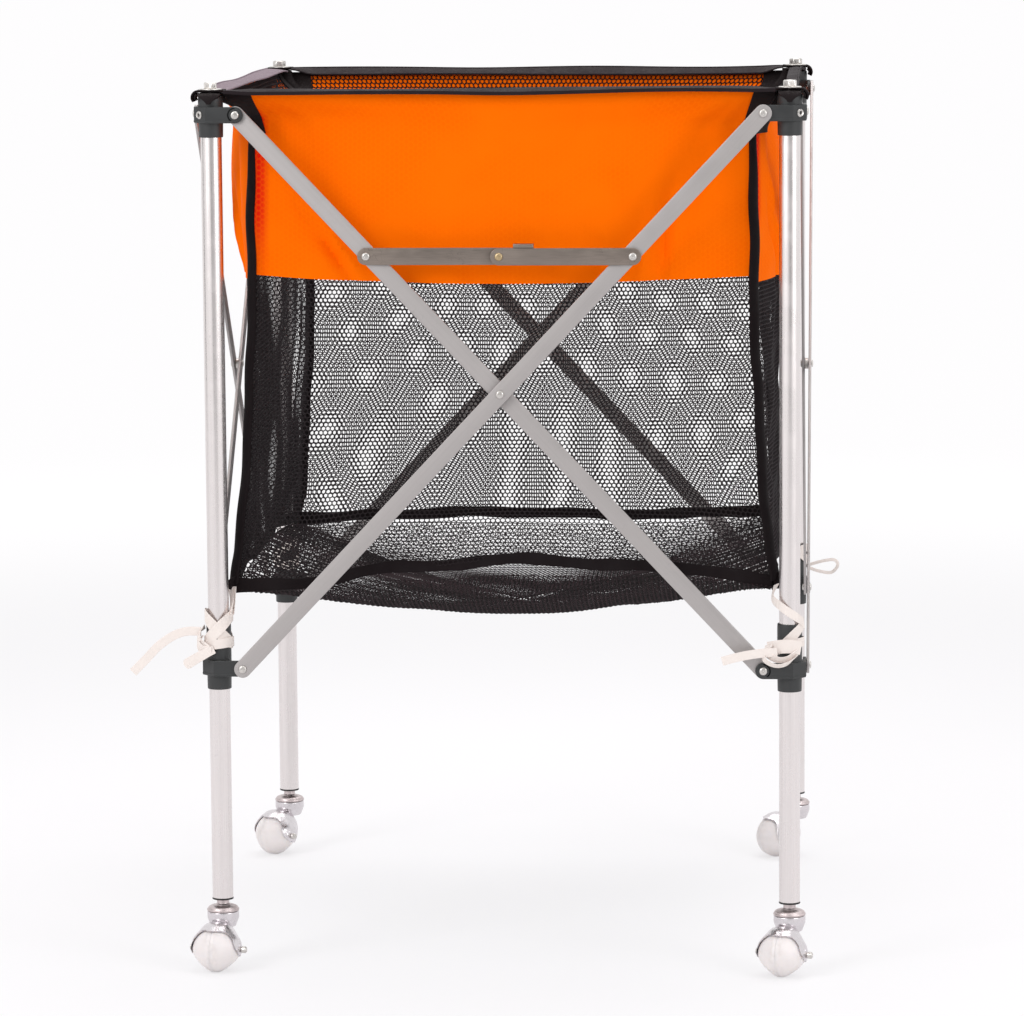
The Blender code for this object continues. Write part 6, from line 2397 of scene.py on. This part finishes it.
@dataclass
class Studio:
    """White floor, plain soft light and the photograph's camera."""

    camera_place: Place = (0.36196, -5.08617, 1.13487)
    yaw: float = 0.07124
    pitch: float = 0.13277
    roll: float = -0.00739
    lens: float = 163.42
    sensor: float = 36.0
    view_reach: float = 400.0
    aim_height: float = 0.5
    floor_half: float = 60.0
    surround: float = 0.7
    near_glow: float = 0.62
    far_glow: float = 0.97

    def build(self) -> None:
        """Sets the camera, the floor, the world and the lamps."""
        self.camera()
        self.floor()
        self.world()
        self.lamp("key_lamp", (-2.6, -3.0, 2.7), (1.6, 2.2), 62.0)
        self.lamp("fill_lamp", (3.0, -2.4, 2.0), (1.4, 2.0), 34.0)
        self.lamp("top_lamp", (0.3, 0.6, 3.2), (2.4, 2.4), 46.0)
        self.card("grey_card", (0.9, -7.2, 1.2), (5.2, 6.0), 0.42)
        self.card("side_card", (-6.0, 0.5, 1.2), (1.4, 5.0), 0.3)
        bpy.context.scene.view_settings.view_transform = "Standard"

    def camera(self) -> None:
        """Sets the camera at the photograph's viewing angle, with no shift."""
        ahead, fall = cos(self.pitch), -sin(self.pitch)
        forward = Vector((-sin(self.yaw) * ahead, cos(self.yaw) * ahead, fall))
        level = Vector((cos(self.yaw), sin(self.yaw), 0))
        up = level.cross(forward)
        right = level * cos(self.roll) + up * sin(self.roll)
        up = up * cos(self.roll) - level * sin(self.roll)
        data = bpy.data.cameras.new("camera")
        data.lens = self.lens
        data.sensor_width = self.sensor
        data.clip_end = self.view_reach
        turn = Matrix((right, up, -forward)).transposed().to_4x4()
        bpy.context.scene.camera = self.put("camera", data, shifted(*self.camera_place) @ turn)

    @staticmethod
    def put(name: str, data: bpy.types.ID, place: Matrix) -> bpy.types.Object:
        """Puts an object in the scene.

        Args:
            name: its name.
            data: its mesh, lamp or camera.
            place: its world matrix.

        Returns:
            The object.
        """
        made = bpy.data.objects.new(name, data)
        bpy.context.scene.collection.objects.link(made)
        made.matrix_world = place
        return made

    @staticmethod
    def plate(name: str, half_x: float, half_y: float) -> bpy.types.Mesh:
        """Flat rectangle about its middle.

        Args:
            name: its mesh's name.
            half_x: half its width.
            half_y: half its depth.

        Returns:
            The mesh.
        """
        mesh = bpy.data.meshes.new(name)
        edge = [(-half_x, -half_y, 0), (half_x, -half_y, 0), (half_x, half_y, 0), (-half_x, half_y, 0)]
        mesh.from_pydata(edge, [], [(0, 1, 2, 3)])
        return mesh

    @staticmethod
    def paint(name: str, constants: dict[str, object]) -> bpy.types.Material:
        """Plain material.

        Args:
            name: its name.
            constants: values of the shader's own inputs.

        Returns:
            The material.
        """
        material = bpy.data.materials.new(name)
        material.use_nodes = True
        for label, value in constants.items():
            material.node_tree.nodes["Principled BSDF"].inputs[label].default_value = value
        return material

    @staticmethod
    def seen(w: Wiring) -> Socket:
        """Tells what the camera sees directly, in metal or through glass.

        Args:
            w: the tree's wiring.

        Returns:
            One for that, else zero.
        """
        path = w.add("LightPath").outputs
        both = w.math("MAXIMUM", path["Is Camera Ray"], path["Is Glossy Ray"])
        return w.math("MAXIMUM", both, path["Is Transmission Ray"])

    def floor(self) -> None:
        """Makes the wide white floor that keeps the trolley's shadow."""
        mesh = self.plate("floor", self.floor_half, self.floor_half)
        floor = self.put("floor", mesh, Matrix())
        constants = {"Roughness": 0.9, "Specular IOR Level": 0.0, "Emission Color": (1.0, 0.992, 1.0, 1.0)}
        material = self.paint("white_floor", constants)
        w = Wiring(material.node_tree)
        shader = material.node_tree.nodes["Principled BSDF"].inputs
        seen = self.seen(w)
        place = w.add("NewGeometry").outputs["Position"]
        reach = w.add("VectorMath", {0: place}, operation="LENGTH").outputs["Value"]
        far = w.span(reach, 0.9, 4.5)
        shown = w.mix(far, (0.33, 0.325, 0.335, 1.0), (0.03, 0.03, 0.03, 1.0))
        w.give(w.mix(seen, (0.86, 0.86, 0.86, 1.0), shown), shader["Base Color"])
        glow = w.span(far, 0.0, 1.0, self.near_glow, self.far_glow)
        w.give(w.times(seen, glow), shader["Emission Strength"])
        mesh.materials.append(material)
        floor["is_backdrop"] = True

    def world(self) -> None:
        """Makes the white surround: full white where it is seen, softer as light."""
        world = bpy.data.worlds.new("surround")
        bpy.context.scene.world = world
        world.use_nodes = True
        w = Wiring(world.node_tree)
        background = world.node_tree.nodes["Background"].inputs
        w.give(w.span(self.seen(w), 0.0, 1.0, self.surround, 1.0), background["Strength"])
        background["Color"].default_value = (1.0, 1.0, 1.0, 1.0)

    def lamp(self, name: str, place: Place, size: tuple[float, float], power: float) -> None:
        """Makes a soft area lamp that looks at the trolley's middle.

        Args:
            name: its name.
            place: where it stands.
            size: its width and height.
            power: its power in watts.
        """
        data = bpy.data.lights.new(name, "AREA")
        data.shape = "RECTANGLE"
        data.size, data.size_y = size
        data.energy = power
        self.put(name, data, self.looking_in(place))

    def looking_in(self, place: Place) -> Matrix:
        """World matrix of something that looks from a place at the trolley's middle."""
        aim = Vector((SIZES.middle_x, SIZES.middle_y, self.aim_height)) - Vector(place)
        return shifted(*place) @ aim.to_track_quat("-Z", "Y").to_matrix().to_4x4()

    def card(self, name: str, place: Place, size: tuple[float, float], level: float) -> None:
        """Makes a grey card that only reflections see.

        Args:
            name: its name.
            place: where it stands.
            size: its width and height.
            level: how bright it is.
        """
        mesh = self.plate(name, size[0] / 2, size[1] / 2)
        card = self.put(name, mesh, self.looking_in(place))
        black, white = (0.0, 0.0, 0.0, 1.0), (1.0, 1.0, 1.0, 1.0)
        constants = {"Base Color": black, "Specular IOR Level": 0.0}
        constants |= {"Emission Color": white, "Emission Strength": level}
        mesh.materials.append(self.paint(name, constants))
        card.visible_camera = False
        card.visible_diffuse = False
        card.visible_shadow = False
        card.visible_transmission = False
        card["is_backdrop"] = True


def corners(bounds: Sequence) -> list[list[float]]:
    """Lowest and highest corner as plain numbers."""
    return [[float(value) for value in corner] for corner in bounds]


def main() -> None:
    """Builds the trolley on its frame, in a white studio."""
    logging.basicConfig(level=logging.INFO, format="%(message)s")
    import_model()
    solid_box = corners(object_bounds())
    Studio().build()
    Ties().build()
    Legs().build()
    Bars().build()
    Casters().build()
    Bag().build()
    shown_box = corners(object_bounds())
    log.info("solid box %s, shown box %s", solid_box, shown_box)


if __name__ == "__main__":
    main()
